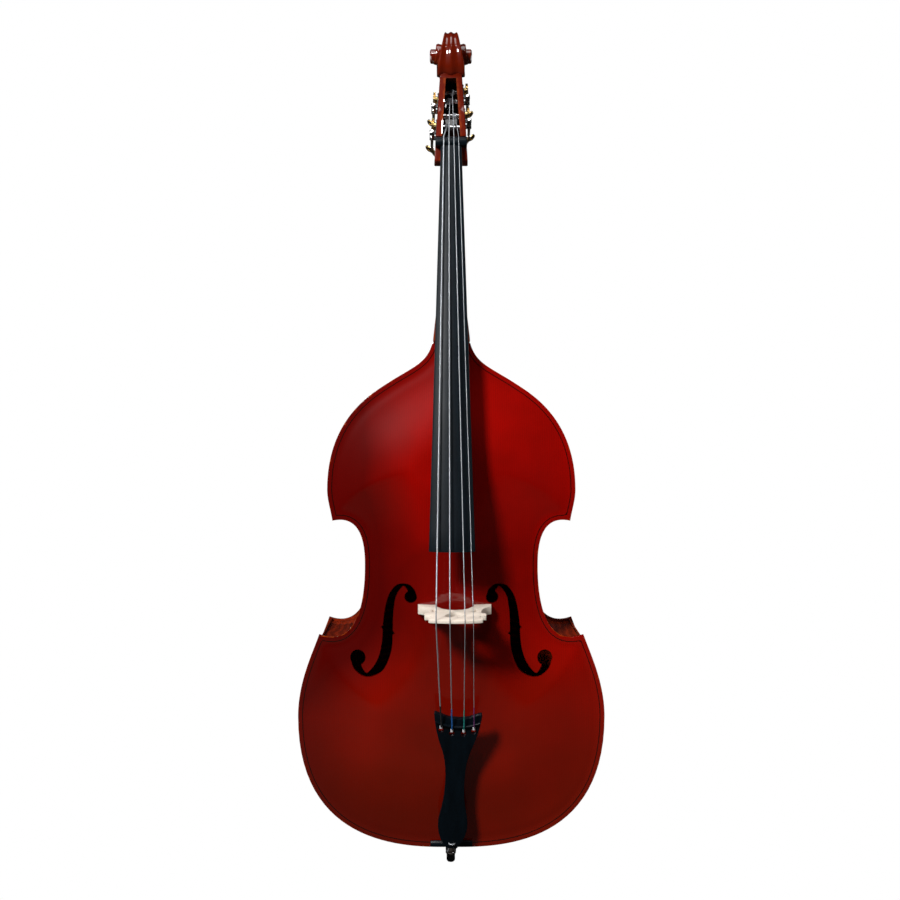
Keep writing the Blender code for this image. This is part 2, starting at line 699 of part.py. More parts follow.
def endpin(ebony, chrome, steel, rubber):
    upright_axis = Matrix.Identity(4)
    plug_profile = [(0.0155, 0.140), (0.0160, 0.0870), (0.0160, 0.0812), (0.0200, 0.0812), (0.0210, 0.0780),
                    (0.0190, 0.0725), (0.0085, 0.0705), (0.0085, 0.0625), (0.0110, 0.0610), (0.0110, 0.0590)]
    bore = cutter_rod("pin_bore", 0.0054, 0.3, Matrix.Translation((0, 0, 0.1)), 20)
    boolean(turned("endpin_plug", plug_profile, upright_axis, ebony), bore)
    collar_profile = [(0.0112, 0.0586), (0.0119, 0.0575), (0.0119, 0.0260), (0.0108, 0.0240), (0.0119, 0.0220),
                      (0.0119, 0.0190), (0.0108, 0.0180)]
    collar = turned("endpin_collar", collar_profile, upright_axis, chrome)
    boolean(collar, bore)
    screw_axis = frame_at((0, 0, 0.044), (1, 0, 0), Vector((0, 1, 0)))
    screw_at = screw_axis @ Matrix.Translation((0, 0, 0.010))
    boolean(collar, cutter_rod("screw_hole", 0.0031, 0.012, screw_at, 12))
    head = [(0.0062, 0.024), (0.0075, 0.0232), (0.0075, 0.0175), (0.0062, 0.0168), (0.0040, 0.0165),
            (0.0040, 0.0128), (0.0026, 0.0125), (0.0026, 0.0058)]
    turned("thumb_screw", head, screw_axis, chrome, 16)
    turned("endpin_rod", [(0.0042, 0.400), (0.0050, 0.3985), (0.0050, 0.0064)], upright_axis, steel, 16)
    tip = [(0.0054, 0.0060), (0.0054, 0.0174), (0.0085, 0.0174), (0.0097, 0.0150), (0.0097, 0.0035),
           (0.0080, 0.0)]
    turned("endpin_tip", tip, upright_axis, rubber, 20)


# ---- tuning machines

def cheek_half(z, halves=CHEEK_HALF):
    share = (z - CHEEK_Z[0]) / (CHEEK_Z[1] - CHEEK_Z[0])
    return halves[0] + (halves[1] - halves[0]) * share


class Machine:
    """One tuning machine: directions out of the cheek, along the worm and from the gear to the worm."""

    def __init__(self, name):
        self.name = name
        self.side, height, depth = MACHINES[name]
        lean = math.atan((CHEEK_HALF[0] - CHEEK_HALF[1]) / (CHEEK_Z[1] - CHEEK_Z[0]))
        self.out = Vector((self.side * math.cos(lean), 0, math.sin(lean)))
        worm = Vector((0, math.cos(WORM_TILT), -math.sin(WORM_TILT)))
        self.worm = (worm - self.out * worm.dot(self.out)).normalized()
        across = self.out.cross(self.worm) * -self.side
        self.across = across if across.z < 0 else -across
        self.cheek = Vector((self.side * cheek_half(height), depth, height))
        self.gear = self.cheek + self.out * WORM_OUT
        self.centre = self.gear + self.across * (GEAR_R + WORM_R)

    def flat(self, out):
        """A frame on the cheek whose Z leaves it, X towards the worm and Y along o x m."""
        y = self.out.cross(self.across)
        turn = Matrix((self.across, y, self.out)).transposed().to_4x4()
        return Matrix.Translation(self.cheek + self.out * out) @ turn

    def shaft(self):
        """A frame on the worm: Z along it, X towards the gear."""
        y = self.worm.cross(-self.across)
        turn = Matrix((-self.across, y, self.worm)).transposed().to_4x4()
        return Matrix.Translation(self.centre) @ turn


def rounded(x0, x1, y0, y1, radius):
    corners = ((x1 - radius, y1 - radius, 0), (x0 + radius, y1 - radius, 90),
               (x0 + radius, y0 + radius, 180), (x1 - radius, y0 + radius, 270))
    points = []
    for x, y, start in corners:
        for turn in (0, 45, 90):
            angle = math.radians(start + turn)
            points.append((x + radius * math.cos(angle), y + radius * math.sin(angle)))
    return points


def machine_plate(machine, finish):
    outline = rounded(-0.012, GEAR_R + WORM_R + 0.0055, -LUG_AT - 0.004, LUG_AT + 0.004, 0.005)
    rise = machine.flat(GAP + MACHINE_PLATE / 2)
    made = extruded("machine_plate_" + machine.name, outline, MACHINE_PLATE, finish, rise)
    hole = cutter_rod("plate_hole_" + machine.name, ROLLER_R + 0.0004, 0.012, machine.flat(0), 16)
    boolean(made, hole)
    for end in (-1, 1):
        reach = WORM_OUT + 0.0055 - GAP - MACHINE_PLATE / 2
        low = GAP + MACHINE_PLATE / 2
        x = GEAR_R + WORM_R
        y = end * LUG_AT
        block = rounded(x - 0.0052, x + 0.0052, y - 0.002, y + 0.002, 0.0008)
        label = f"{machine.name}_{end + 1}"
        at = machine.flat(low + reach / 2)
        boolean(made, extruded("lug_" + label, block, reach, None, at, CUTTERS), "UNION")
    boolean(made, cutter_rod("lug_bore_" + machine.name, 0.0034, 0.04, machine.shaft(), 14))


def thread_radius(angle, along):
    """The worm's surface: one start, its crest on the gear's side half way along."""
    turns = along / PITCH - angle / (2 * math.pi)
    away = abs(turns - round(turns))
    share = min(max((0.30 - away) / 0.14, 0), 1)
    return WORM_ROOT + (WORM_CREST - WORM_ROOT) * share


def worm_shaft(machine, finish):
    """The worm between its two journals, a collar outside each lug, and the stem that carries the key."""
    around = 14
    rows = [(-0.0170, 0.0030), (-0.0168, 0.0045), (-0.0146, 0.0045), (-0.0146, 0.0030), (-0.0090, 0.0030),
            (-0.0078, WORM_ROOT)]
    steps = 12
    rows += [(WORM_HALF * (2 * i / steps - 1), None) for i in range(steps + 1)]
    rows += [(0.0078, WORM_ROOT), (0.0090, 0.0030), (0.0146, 0.0030), (0.0146, 0.0045), (0.0180, 0.0045),
             (0.0185, 0.0036), (0.0480, 0.0030), (0.0500, 0.0045), (KEY_START - GAP, 0.0045)]
    rings = []
    for along, radius in rows:
        ring = []
        for i in range(around):
            angle = 2 * math.pi * i / around
            r = radius or thread_radius(angle, along)
            ring.append(machine.shaft() @ Vector((r * math.cos(angle), r * math.sin(angle), along)))
        rings.append(ring)
    loft("worm_shaft_" + machine.name, rings, finish)


def key(machine, finish):
    """The butterfly grip on the end of the worm's stem."""
    wing = ((0.0045, 0.0), (0.0060, 0.0040), (0.0150, 0.0070), (KEY_HALF, 0.0140), (0.0165, 0.0210),
            (0.0090, KEY_LENGTH), (0.0, 0.0185))
    outline = [*wing, *[(-x, y) for x, y in reversed(wing[:-1])]]
    frame = machine.shaft() @ Matrix.Translation((0, 0, KEY_START))
    turn = math.pi / 2 - machine.side * KEY_TURN
    face = Matrix.Rotation(turn, 4, "Z") @ Matrix.Rotation(math.pi / 2, 4, "X")
    made = extruded("key_" + machine.name, outline, KEY_THICK, finish, frame @ face)
    edge = made.modifiers.new("Edge", "BEVEL")
    edge.width = 0.0012
    edge.segments = 1
    edge.limit_method = "ANGLE"
    edge.angle_limit = math.radians(60)


def gear(machine, finish):
    """The worm wheel: slanted teeth with a gap towards the worm, and a boss down to the plate."""
    slant = PITCH / (2 * math.pi * WORM_R) / GEAR_R
    root, tip = GEAR_R - 0.0019, GEAR_R + 0.0011
    rings = []
    for level in (-GEAR_THICK / 2, GEAR_THICK / 2):
        ring = []
        for tooth in range(TEETH):
            for share, radius in ((-0.21, root), (-0.11, tip), (0.11, tip), (0.21, root)):
                angle = 2 * math.pi * (tooth + 0.5 + share) / TEETH + slant * level
                spot = Vector((radius * math.cos(angle), radius * math.sin(angle), level))
                ring.append(machine.flat(WORM_OUT) @ spot)
        rings.append(ring)
    made = loft("gear_" + machine.name, rings, finish)
    low = GAP * 2 + MACHINE_PLATE
    high = WORM_OUT - GEAR_THICK / 2 + 0.001
    boss = [(0.0095, (high - low) / 2), (0.0095, (low - high) / 2)]
    at = machine.flat((high + low) / 2)
    boolean(made, turned("boss_" + machine.name, boss, at, None, 16, CUTTERS), "UNION")


def roller(machine, neck_object, finish):
    """The roller lies across the pegbox, from the boss of its gear to a blind hole in the far cheek."""
    far = 2 * cheek_half(machine.cheek.z) - 0.006
    near = GAP + MACHINE_PLATE
    middle = machine.flat((near - far) / 2)
    length = far + near
    waist = ROLLER_R - 0.0012
    inside = cheek_half(machine.cheek.z, CAVITY_HALF) - 0.001
    profile = [(ROLLER_R, length / 2), (ROLLER_R, inside), (waist, inside - 0.002),
               (waist, -inside + 0.002), (ROLLER_R, -inside), (ROLLER_R, -length / 2)]
    turned("roller_" + machine.name, profile, middle, finish, 16)
    hole_end = machine.flat((0.01 - far) / 2 - 0.0004)
    hole = cutter_rod("roller_hole_" + machine.name, ROLLER_R + 0.0004, far + 0.0108, hole_end, 16)
    boolean(neck_object, hole)


def main():
    for old in list(bpy.data.objects):
        bpy.data.objects.remove(old)
    bpy.context.scene.collection.children.link(BASS)
    bpy.context.scene.collection.children.link(CUTTERS)
    CUTTERS.hide_render = True
    spruce = material("varnished_top", (0.30, 0.010, 0.002), 0.18)
    maple = material("varnished_maple", (0.20, 0.020, 0.004), 0.18)
    inside = material("bare_wood", (0.62, 0.45, 0.27), 0.7)
    pale = material("bridge_maple", (0.72, 0.62, 0.48), 0.6)
    ebony = material("ebony", (0.012, 0.012, 0.014), 0.35)
    steel = material("steel", (0.45, 0.47, 0.50), 0.3, 1)
    chrome = material("chrome", (0.75, 0.75, 0.76), 0.12, 1)
    brass = material("brass", (0.60, 0.42, 0.14), 0.25, 1)
    black = material("black_steel", (0.02, 0.02, 0.02), 0.35, 0.6)
    rubber = material("rubber", (0.015, 0.015, 0.015), 0.7)
    body(spruce, maple, inside)
    neck_object = neck(maple)
    board(ebony)
    nut(ebony)
    bridge(pale)
    tailpiece(ebony)
    tail_cable(steel)
    saddle(ebony)
    strings(steel)
    endpin(ebony, chrome, steel, rubber)
    for name in MACHINES:
        machine = Machine(name)
        machine_plate(machine, black)
        worm_shaft(machine, chrome)
        key(machine, brass)
        gear(machine, brass)
        roller(machine, neck_object, chrome)


main()
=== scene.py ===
"""The finished surfaces of a three-quarter size double bass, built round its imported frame.

Metres, +Z up the strings; the top plate faces -Y. Every piece lies where the frame holds its part.
"""

import json
import logging
import math
from dataclasses import dataclass, field
from enum import Enum
from typing import Callable, Iterable, Sequence

import bmesh
import bpy
import numpy as np
from mathutils import Matrix, Vector

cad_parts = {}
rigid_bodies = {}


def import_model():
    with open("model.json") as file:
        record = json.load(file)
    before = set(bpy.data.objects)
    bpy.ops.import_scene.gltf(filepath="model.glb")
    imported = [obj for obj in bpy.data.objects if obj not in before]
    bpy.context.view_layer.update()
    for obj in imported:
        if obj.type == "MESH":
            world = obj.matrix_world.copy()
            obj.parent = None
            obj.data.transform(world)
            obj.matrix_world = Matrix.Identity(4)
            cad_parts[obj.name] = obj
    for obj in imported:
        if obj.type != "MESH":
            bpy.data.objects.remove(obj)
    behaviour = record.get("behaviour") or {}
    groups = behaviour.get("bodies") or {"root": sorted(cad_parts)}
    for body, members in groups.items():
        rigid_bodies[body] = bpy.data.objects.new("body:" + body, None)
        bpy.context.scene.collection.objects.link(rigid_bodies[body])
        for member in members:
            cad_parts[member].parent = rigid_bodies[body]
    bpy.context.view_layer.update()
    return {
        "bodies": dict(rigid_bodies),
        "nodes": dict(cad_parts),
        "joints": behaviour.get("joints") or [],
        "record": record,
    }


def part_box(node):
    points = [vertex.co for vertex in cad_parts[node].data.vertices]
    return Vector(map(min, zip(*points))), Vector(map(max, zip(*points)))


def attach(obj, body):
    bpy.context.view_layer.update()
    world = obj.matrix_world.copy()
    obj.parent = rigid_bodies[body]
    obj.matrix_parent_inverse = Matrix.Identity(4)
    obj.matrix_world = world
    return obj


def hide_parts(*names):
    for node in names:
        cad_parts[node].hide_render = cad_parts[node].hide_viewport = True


LOG = logging.getLogger("double_bass")
AXES = {"X": Vector((1, 0, 0)), "Y": Vector((0, 1, 0)), "Z": Vector((0, 0, 1))}
FACING = Matrix.Rotation(math.pi / 2, 4, "X")  # Y becomes Z
SIDEWAYS = Matrix(((0, 0, 1, 0), (1, 0, 0, 0), (0, 1, 0, 0), (0, 0, 0, 1)))  # X becomes Y, and Y becomes Z
GAP = 0.0004  # between pieces that touch
PURFLING = (0.0088, 0.0112)  # how far in from the body's edge the inlaid line runs
ROLLER_SPREAD = 0.55  # a string's X at its roller, as a share of its X at the nut
Point = Sequence[float]


# ---------------------------------------------------------------- shader sockets


class Wire:
    """A shader socket that adds a Math node for each operation on it."""

    def __init__(self, tree: bpy.types.NodeTree, socket: bpy.types.NodeSocket) -> None:
        """Keep the tree and the socket that the value comes from."""
        self.tree = tree
        self.socket = socket

    def math(self, operation: str, *others: "Wire | float", first: int = 0) -> "Wire":
        """Add one Math node.

        Args:
            operation: The node's operation.
            others: The remaining inputs, wires or numbers.
            first: Which input this wire goes to.

        Returns:
            The node's result.
        """
        node = self.tree.nodes.new("ShaderNodeMath")
        node.operation = operation
        slots = [i for i in range(3) if i != first]
        self.tree.links.new(self.socket, node.inputs[first])
        for slot, other in zip(slots, others):
            if isinstance(other, Wire):
                self.tree.links.new(other.socket, node.inputs[slot])
            else:
                node.inputs[slot].default_value = other
        return Wire(self.tree, node.outputs[0])

    def __add__(self, other: "Wire | float") -> "Wire":
        """Sum."""
        return self.math("ADD", other)

    __radd__ = __add__

    def __sub__(self, other: "Wire | float") -> "Wire":
        """Difference."""
        return self.math("SUBTRACT", other)

    def __rsub__(self, other: float) -> "Wire":
        """Difference from a number."""
        return self.math("SUBTRACT", other, first=1)

    def __mul__(self, other: "Wire | float") -> "Wire":
        """Product."""
        return self.math("MULTIPLY", other)

    __rmul__ = __mul__

    def __truediv__(self, other: "Wire | float") -> "Wire":
        """Quotient."""
        return self.math("DIVIDE", other)

    def __pow__(self, other: float) -> "Wire":
        """Power."""
        return self.math("POWER", other)

    def __abs__(self) -> "Wire":
        """Absolute value."""
        return self.math("ABSOLUTE")

    def between(self, low: float, high: float, soft: float) -> "Wire":
        """A mask that is 1 from low to high with edges of width soft."""
        rise = ((self - low) / soft).math("MINIMUM", 1.0).math("MAXIMUM", 0.0)
        fall = ((high - self) / soft).math("MINIMUM", 1.0).math("MAXIMUM", 0.0)
        return rise * fall


class Paint:
    """The node tree of one material, with a Principled shader at its end."""

    def __init__(self, name: str) -> None:
        """Make the material and find its shader."""
        self.material = bpy.data.materials.new(name)
        self.material.use_nodes = True
        self.tree = self.material.node_tree
        self.shader = self.tree.nodes["Principled BSDF"]

    def node(self, kind: str, settings: dict | None = None, out: int | str = 0, **inputs: object) -> Wire:
        """Add any node but Math.

        Args:
            kind: The node's type, without ShaderNode.
            settings: Its properties, set before its sockets.
            out: Which output to return.
            inputs: Socket names, with _ for a space, and their values or wires.

        Returns:
            The chosen output.
        """
        made = self.tree.nodes.new("ShaderNode" + kind)
        for key, value in (settings or {}).items():
            setattr(made, key, value)
        for key, value in inputs.items():
            socket = made.inputs[key.replace("_", " ")]
            if isinstance(value, Wire):
                self.tree.links.new(value.socket, socket)
            else:
                socket.default_value = value
        return Wire(self.tree, made.outputs[out])

    def place(self, scale: Point = (1, 1, 1), turn: Point = (0, 0, 0)) -> Wire:
        """The point on the piece, stretched by scale and turned."""
        spot = self.node("TexCoord", out="Object")
        return self.node("Mapping", Vector=spot, Scale=tuple(scale), Rotation=tuple(turn))

    def noise(self, spot: Wire, scale: float, detail: float = 3, rough: float = 0.5) -> Wire:
        """Fractal noise, about 0 to 1."""
        return self.node("TexNoise", Vector=spot, Scale=scale, Detail=detail, Roughness=rough)

    def blend(self, share: "Wire | float", first: object, second: object) -> Wire:
        """Mix two colours by a share, each a wire or a linear colour."""
        made = self.tree.nodes.new("ShaderNodeMix")
        made.data_type = "RGBA"
        for slot, value in ((0, share), (6, first), (7, second)):
            if isinstance(value, Wire):
                self.tree.links.new(value.socket, made.inputs[slot])
            else:
                made.inputs[slot].default_value = value if slot == 0 else (*value, 1)
        return Wire(self.tree, made.outputs[2])

    def bump(self, height: Wire, depth: float, strength: float = 0.6) -> None:
        """Raise the surface by a height of 0 to 1 over depth metres."""
        relief = self.node("Bump", Height=height, Distance=depth, Strength=strength)
        self.tree.links.new(relief.socket, self.shader.inputs["Normal"])

    def feed(self, **values: object) -> None:
        """Link or set the shader's own sockets."""
        for key, value in values.items():
            socket = self.shader.inputs[key.replace("_", " ")]
            if isinstance(value, Wire):
                self.tree.links.new(value.socket, socket)
            elif isinstance(value, tuple):
                socket.default_value = (*value, 1)
            else:
                socket.default_value = value


# ---------------------------------------------------------------- finishes


class Grain(Enum):
    """How the wood under a varnish is figured."""

    SPRUCE = "spruce"
    FLAMED = "flamed"
    PLAIN = "plain"


@dataclass(frozen=True)
class Finish:
    """The surface of a piece.

    Attributes:
        name: The material's name.
    """

    name: str

    def make(self) -> bpy.types.Material:
        """Build the material.

        Returns:
            The finished material.
        """
        paint = Paint(self.name)
        self.dress(paint)
        return paint.material

    def dress(self, paint: Paint) -> None:
        """Set the shader; each finish does this in its own way."""
        raise NotImplementedError(self.name)


@dataclass(frozen=True)
class Varnish(Finish):
    """Deep red-brown gloss varnish over figured wood.

    Attributes:
        grain: The figure of the wood.
        light: Linear colour where the varnish is thin.
        dark: Linear colour where it is thick.
        worn: Linear colour of the edges, where it has rubbed through.
        rubbed: How far through it has rubbed there, 0 to 1.
    """

    grain: Grain
    light: Point
    dark: Point
    worn: Point
    rubbed: float = 0.8

    def dress(self, paint: Paint) -> None:
        """Lay colour, wear, purfling and gloss over the wood's figure."""
        spot = paint.place()
        cloud = paint.noise(spot, 2.2, 4)
        tint = paint.blend(((cloud - 0.38) * 3.4).between(0, 2, 1), self.dark, self.light)
        if self.grain is Grain.SPRUCE:
            tint, relief = self._spruce(paint, tint)
        elif self.grain is Grain.FLAMED:
            tint, relief = self._flame(paint, tint)
        else:
            relief = paint.noise(paint.place((180, 180, 7)), 1.0, 4)
            tint = paint.blend(relief * 0.35, tint, tuple(c * 0.35 for c in self.dark))
            tint = self._stained(paint, tint)
        rub = paint.noise(spot, 60, 5)
        edge = paint.node("Attribute", {"attribute_name": "wear"}, out="Fac")
        mask = (edge * (rub * 1.6 - 0.25)).between(0.28, 2, 0.25)
        tint = paint.blend(mask * self.rubbed, tint, self.worn)
        rim = paint.node("Attribute", {"attribute_name": "rim"}, out="Fac")
        tint = paint.blend(rim.between(*PURFLING, 0.0004) * 0.9, tint, (0.006, 0.0012, 0.0006))
        smear = paint.noise(paint.place((1, 1, 0.6)), 9, 3)
        peel = paint.noise(spot, 95, 2)
        paint.feed(Base_Color=tint, Roughness=0.30 + smear * 0.12, Coat_Weight=1.0, Coat_Roughness=0.035,
                   Coat_IOR=1.5, Specular_IOR_Level=0.04)
        paint.bump(relief * 0.35 + peel * 0.5, 0.00022, 0.35)

    @staticmethod
    def _stained(paint: Paint, tint: Wire) -> Wire:
        """Near-black on the walls of the pegbox's hollow."""
        across = paint.node("SeparateXYZ", Vector=paint.place())
        height = Wire(paint.tree, across.socket.node.outputs["Z"])
        taper = (NECK_BOX.inside[0] - NECK_BOX.inside[1]) / (NECK_BOX.heights[1] - NECK_BOX.heights[0])
        past = abs(across) + (height - NECK_BOX.heights[0]) * taper - NECK_BOX.inside[0]
        floor, roof = NECK_BOX.hollow
        mask = past.between(-1, 0.0002, 0.0003) * height.between(floor + 0.0003, roof + 0.0010, 0.0005)
        return paint.blend(mask * 0.93, tint, (0.004, 0.003, 0.003))

    def _spruce(self, paint: Paint, tint: Wire) -> tuple[Wire, Wire]:
        """Straight fine grain up the plate, book-matched about the centre joint, with painted shade darkening
        the rim and the left side.
        """
        axes = paint.node("SeparateXYZ", Vector=paint.place())
        height = Wire(paint.tree, axes.socket.node.outputs["Z"])
        wander = paint.noise(paint.place((3, 3, 1.1)), 1.0, 2)
        across = abs(axes) + wander * 0.012 + height * 0.004
        fine_rings, broad_rings = 4200, 1250  # radians for each metre across the grain
        lines = (across * fine_rings).math("SINE") * 0.5 + 0.5
        coarse = (across * broad_rings + wander * 14).math("SINE") * 0.5 + 0.5
        fleck = paint.noise(paint.place((420, 420, 16)), 1.0, 3)
        figure = lines * 0.45 + coarse * 0.25 + fleck * 0.4
        tint = paint.blend(figure * 0.42, tint, tuple(c * 0.30 for c in self.dark))
        lower_bout, waist_low, waist_high = 0.62, 0.36, 1.16
        brown = ((lower_bout - height) * 2.1).between(0, 9, 1)
        tint = paint.blend(brown * 0.60, tint, (self.dark[0] * 0.80, 0.0085, 0.0002))
        # Painted shade: darker towards the rim and down the left side, most across the waist, where the light
        # falls off; the noise adds random tone.
        rim = paint.node("Attribute", {"attribute_name": "rim"}, out="Fac")
        lean = (paint.noise(paint.place(), 3.1, 2) - 0.5) * 0.25 - axes * 0.9
        waist = height.between(waist_low, waist_high, 0.22)
        lean = lean + (-0.04 - axes).math("MAXIMUM", 0.0) * waist * 4.2
        painted_shade = (0.34 - rim * 3.6 + lean).math("MAXIMUM", 0.0).math("MINIMUM", 0.86)
        tint = paint.blend(painted_shade, tint, tuple(c * 0.35 for c in self.dark))
        seam = abs(axes).between(-1, 0.00035, 0.0003)
        tint = paint.blend(seam * 0.6, tint, tuple(c * 0.15 for c in self.dark))
        return tint, figure

    def _flame(self, paint: Paint, tint: Wire) -> tuple[Wire, Wire]:
        """Bright bands across the grain that waver and fade."""
        along = paint.node("Attribute", {"attribute_name": "run"}, out="Fac")
        waver = paint.noise(paint.place((4, 9, 4)), 1.0, 3)
        flames = 390  # radians for each metre along the piece
        bands = ((along * flames + waver * 26).math("SINE") * 0.5 + 0.5) ** 1.6
        strong = paint.noise(paint.place((2.2, 3, 5)), 1.0, 2)
        fine = paint.noise(paint.place((30, 260, 260)), 1.0, 3)
        figure = bands * (strong * 0.9 + 0.2)
        tint = paint.blend(figure * 0.75, tint, tuple(c * 1.9 for c in self.light))
        tint = paint.blend(fine * 0.35, tint, tuple(c * 0.4 for c in self.dark))
        return tint, figure * 0.4 + fine * 0.4


@dataclass(frozen=True)
class Ebony(Finish):
    """Near-black oiled wood with fine pores and rubbed tracks.

    Attributes:
        roughness: Mean roughness.
        tracks: How strongly the strings' rubbing shows.
    """

    roughness: float = 0.32
    tracks: float = 0.0

    def dress(self, paint: Paint) -> None:
        """Lay pores, streaks and a soft sheen."""
        pores = paint.noise(paint.place((900, 900, 24)), 1.0, 4)
        streak = paint.noise(paint.place((60, 60, 2.5)), 1.0, 4)
        tint = paint.blend(streak, (0.0006, 0.0016, 0.0026), (0.0040, 0.0095, 0.0150))
        tint = paint.blend((pores - 0.42) * 2.2, tint, (0.0015, 0.0015, 0.0018))
        rub = paint.noise(paint.place((160, 160, 1.2)), 1.0, 3)
        hand = paint.noise(paint.place((6, 6, 5)), 1.0, 3)
        rough = self.roughness + (hand - 0.5) * 0.22 + (rub - 0.5) * self.tracks
        paint.feed(Base_Color=tint, Roughness=rough, Specular_IOR_Level=0.10, Coat_Weight=0.04,
                   Coat_Roughness=0.3)
        paint.bump(pores * 0.7 + streak * 0.3, 0.00012, 0.5)


@dataclass(frozen=True)
class BareWood(Finish):
    """Unvarnished wood with growth lines and small dark flecks.

    Attributes:
        light: Linear colour between the growth lines.
        dark: Linear colour of the lines.
        flecks: How many medullary flecks show.
        stretch: Scale of the grain on X, Y and Z.
    """

    light: Point
    dark: Point
    flecks: float = 0.4
    stretch: Point = (150, 150, 9)

    def dress(self, paint: Paint) -> None:
        """Lay growth lines and flecks."""
        grain = paint.noise(paint.place(self.stretch), 1.0, 5, 0.6)
        cloud = paint.noise(paint.place(), 14, 3)
        spots = paint.node("TexVoronoi", {"feature": "F1"}, Vector=paint.place((260, 900, 260)), Scale=1.0)
        tint = paint.blend(grain, self.dark, self.light)
        fleck = spots.between(-1, 0.22, 0.12) * self.flecks
        tint = paint.blend(fleck, tint, tuple(c * 0.45 for c in self.dark))
        tint = paint.blend((cloud - 0.4) * 0.8, tint, tuple(c * 0.72 for c in self.light))
        paint.feed(Base_Color=tint, Roughness=0.48 + grain * 0.2, Specular_IOR_Level=0.35)
        paint.bump(grain * 0.7 + spots * 0.3, 0.0002, 0.5)


@dataclass(frozen=True)
class Metal(Finish):
    """A plated, polished or blackened metal with hairline scratches and tarnish.

    Attributes:
        colour: Linear colour of the clean metal.
        tarnish: Linear colour of the dull patches.
        roughness: Mean roughness.
        dulling: How much of it is tarnished, 0 to 1.
        metallic: The shader's metallic value.
    """

    colour: Point
    tarnish: Point
    roughness: float
    dulling: float = 0.4
    metallic: float = 1.0

    def dress(self, paint: Paint) -> None:
        """Lay tarnish and hairlines."""
        patch = paint.noise(paint.place(), 90, 4)
        hair = paint.noise(paint.place((260, 260, 1600), (0.4, 0.3, 0.2)), 1.0, 3)
        mask = ((patch - 0.5) * 3).between(0, 5, 1) * self.dulling
        tint = paint.blend(mask, self.colour, self.tarnish)
        rough = self.roughness + mask * 0.25 + hair * 0.08
        paint.feed(Base_Color=tint, Metallic=self.metallic, Roughness=rough)
        paint.bump(hair, 0.00004, 0.4)


@dataclass(frozen=True)
class Wound(Finish):
    """Thread or wire wound round a string, told by the piece's own UV map.

    Attributes:
        colour: Linear colour on the crown of each turn.
        groove: Linear colour between the turns, a painted shade in the gaps between them.
        turns: Turns for each metre.
        metallic: The shader's metallic value.
        roughness: Mean roughness.
    """

    colour: Point
    groove: Point
    turns: float
    metallic: float
    roughness: float

    def dress(self, paint: Paint) -> None:
        """Lay the turns of the winding, with painted shade between them."""
        along = paint.node("SeparateXYZ", Vector=paint.node("UVMap", {"uv_map": "wound"}))
        around = Wire(paint.tree, along.socket.node.outputs["Y"])
        thread = ((along * self.turns + around) * math.tau).math("SINE") * 0.5 + 0.5
        soil = paint.noise(paint.place(), 260, 3)
        # Painted shade: each turn's colour darkens from its crown into the gap beside the next turn.
        tint = paint.blend(thread ** 0.6, self.groove, self.colour)
        tint = paint.blend(soil * 0.3, tint, self.groove)
        paint.feed(Base_Color=tint, Metallic=self.metallic, Roughness=self.roughness + soil * 0.15)
        paint.bump(thread, 0.00012, 0.7)


@dataclass(frozen=True)
class Rubber(Finish):
    """Black moulded rubber, dusty at the foot."""

    def dress(self, paint: Paint) -> None:
        """Lay a matt black with dust."""
        grit = paint.noise(paint.place(), 900, 4)
        dust = paint.noise(paint.place(), 70, 4)
        tint = paint.blend((dust - 0.45) * 1.6, (0.010, 0.010, 0.011), (0.05, 0.048, 0.045))
        paint.feed(Base_Color=tint, Roughness=0.55 + grit * 0.3)
        paint.bump(grit, 0.0001, 0.5)


TOP_VARNISH = Varnish("top_varnish", Grain.SPRUCE, (0.430, 0.0016, 0.0001), (0.170, 0.0014, 0.0001),
                      (0.36, 0.050, 0.004))
BACK_VARNISH = Varnish("back_varnish", Grain.FLAMED, (0.230, 0.018, 0.003), (0.095, 0.0075, 0.0016),
                       (0.34, 0.085, 0.015), 0.6)
NECK_VARNISH = Varnish("neck_varnish", Grain.PLAIN, (0.150, 0.0080, 0.0006), (0.050, 0.0030, 0.0004),
                       (0.30, 0.050, 0.005), 0.35)
BOARD_EBONY = Ebony("board_ebony", 0.50, 0.12)
FITTING_EBONY = Ebony("fitting_ebony", 0.36)
INSIDE_WOOD = BareWood("inside_wood", (0.52, 0.36, 0.20), (0.34, 0.20, 0.09))
BRIDGE_WOOD = BareWood("bridge_wood", (0.88, 0.82, 0.73), (0.66, 0.54, 0.42), 0.7, (9, 120, 150))
CHROME = Metal("chrome_plate", (0.80, 0.80, 0.81), (0.42, 0.41, 0.40), 0.10, 0.35)
STEEL = Metal("bright_steel", (0.62, 0.63, 0.65), (0.30, 0.30, 0.31), 0.20, 0.4)
BRASS = Metal("worn_brass", (0.72, 0.50, 0.20), (0.26, 0.15, 0.05), 0.20, 0.6)
BLACK_STEEL = Metal("blacked_steel", (0.030, 0.030, 0.032), (0.012, 0.011, 0.010), 0.28, 0.5, 0.75)
FOOT_RUBBER = Rubber("foot_rubber")
STRING_STEEL = Wound("string_winding", (0.62, 0.66, 0.70), (0.17, 0.18, 0.20), 1500, 0.55, 0.25)
BALL_NICKEL = Metal("ball_nickel", (0.92, 0.93, 0.96), (0.60, 0.60, 0.62), 0.28, 0.3, 0.4)


# ---------------------------------------------------------------- bench


def pick_none() -> None:
    """Leave edit mode and select nothing."""
    if bpy.context.mode != "OBJECT":
        bpy.ops.object.mode_set(mode="OBJECT")
    bpy.ops.object.select_all(action="DESELECT")


def hold(piece: bpy.types.Object) -> None:
    """Make a piece the only selected and the active one."""
    pick_none()
    piece.select_set(True)
    bpy.context.view_layer.objects.active = piece


def named(name: str) -> bpy.types.Object:
    """Name the active object and its mesh, and return it."""
    piece = bpy.context.object
    piece.name = name
    piece.data.name = name
    return piece


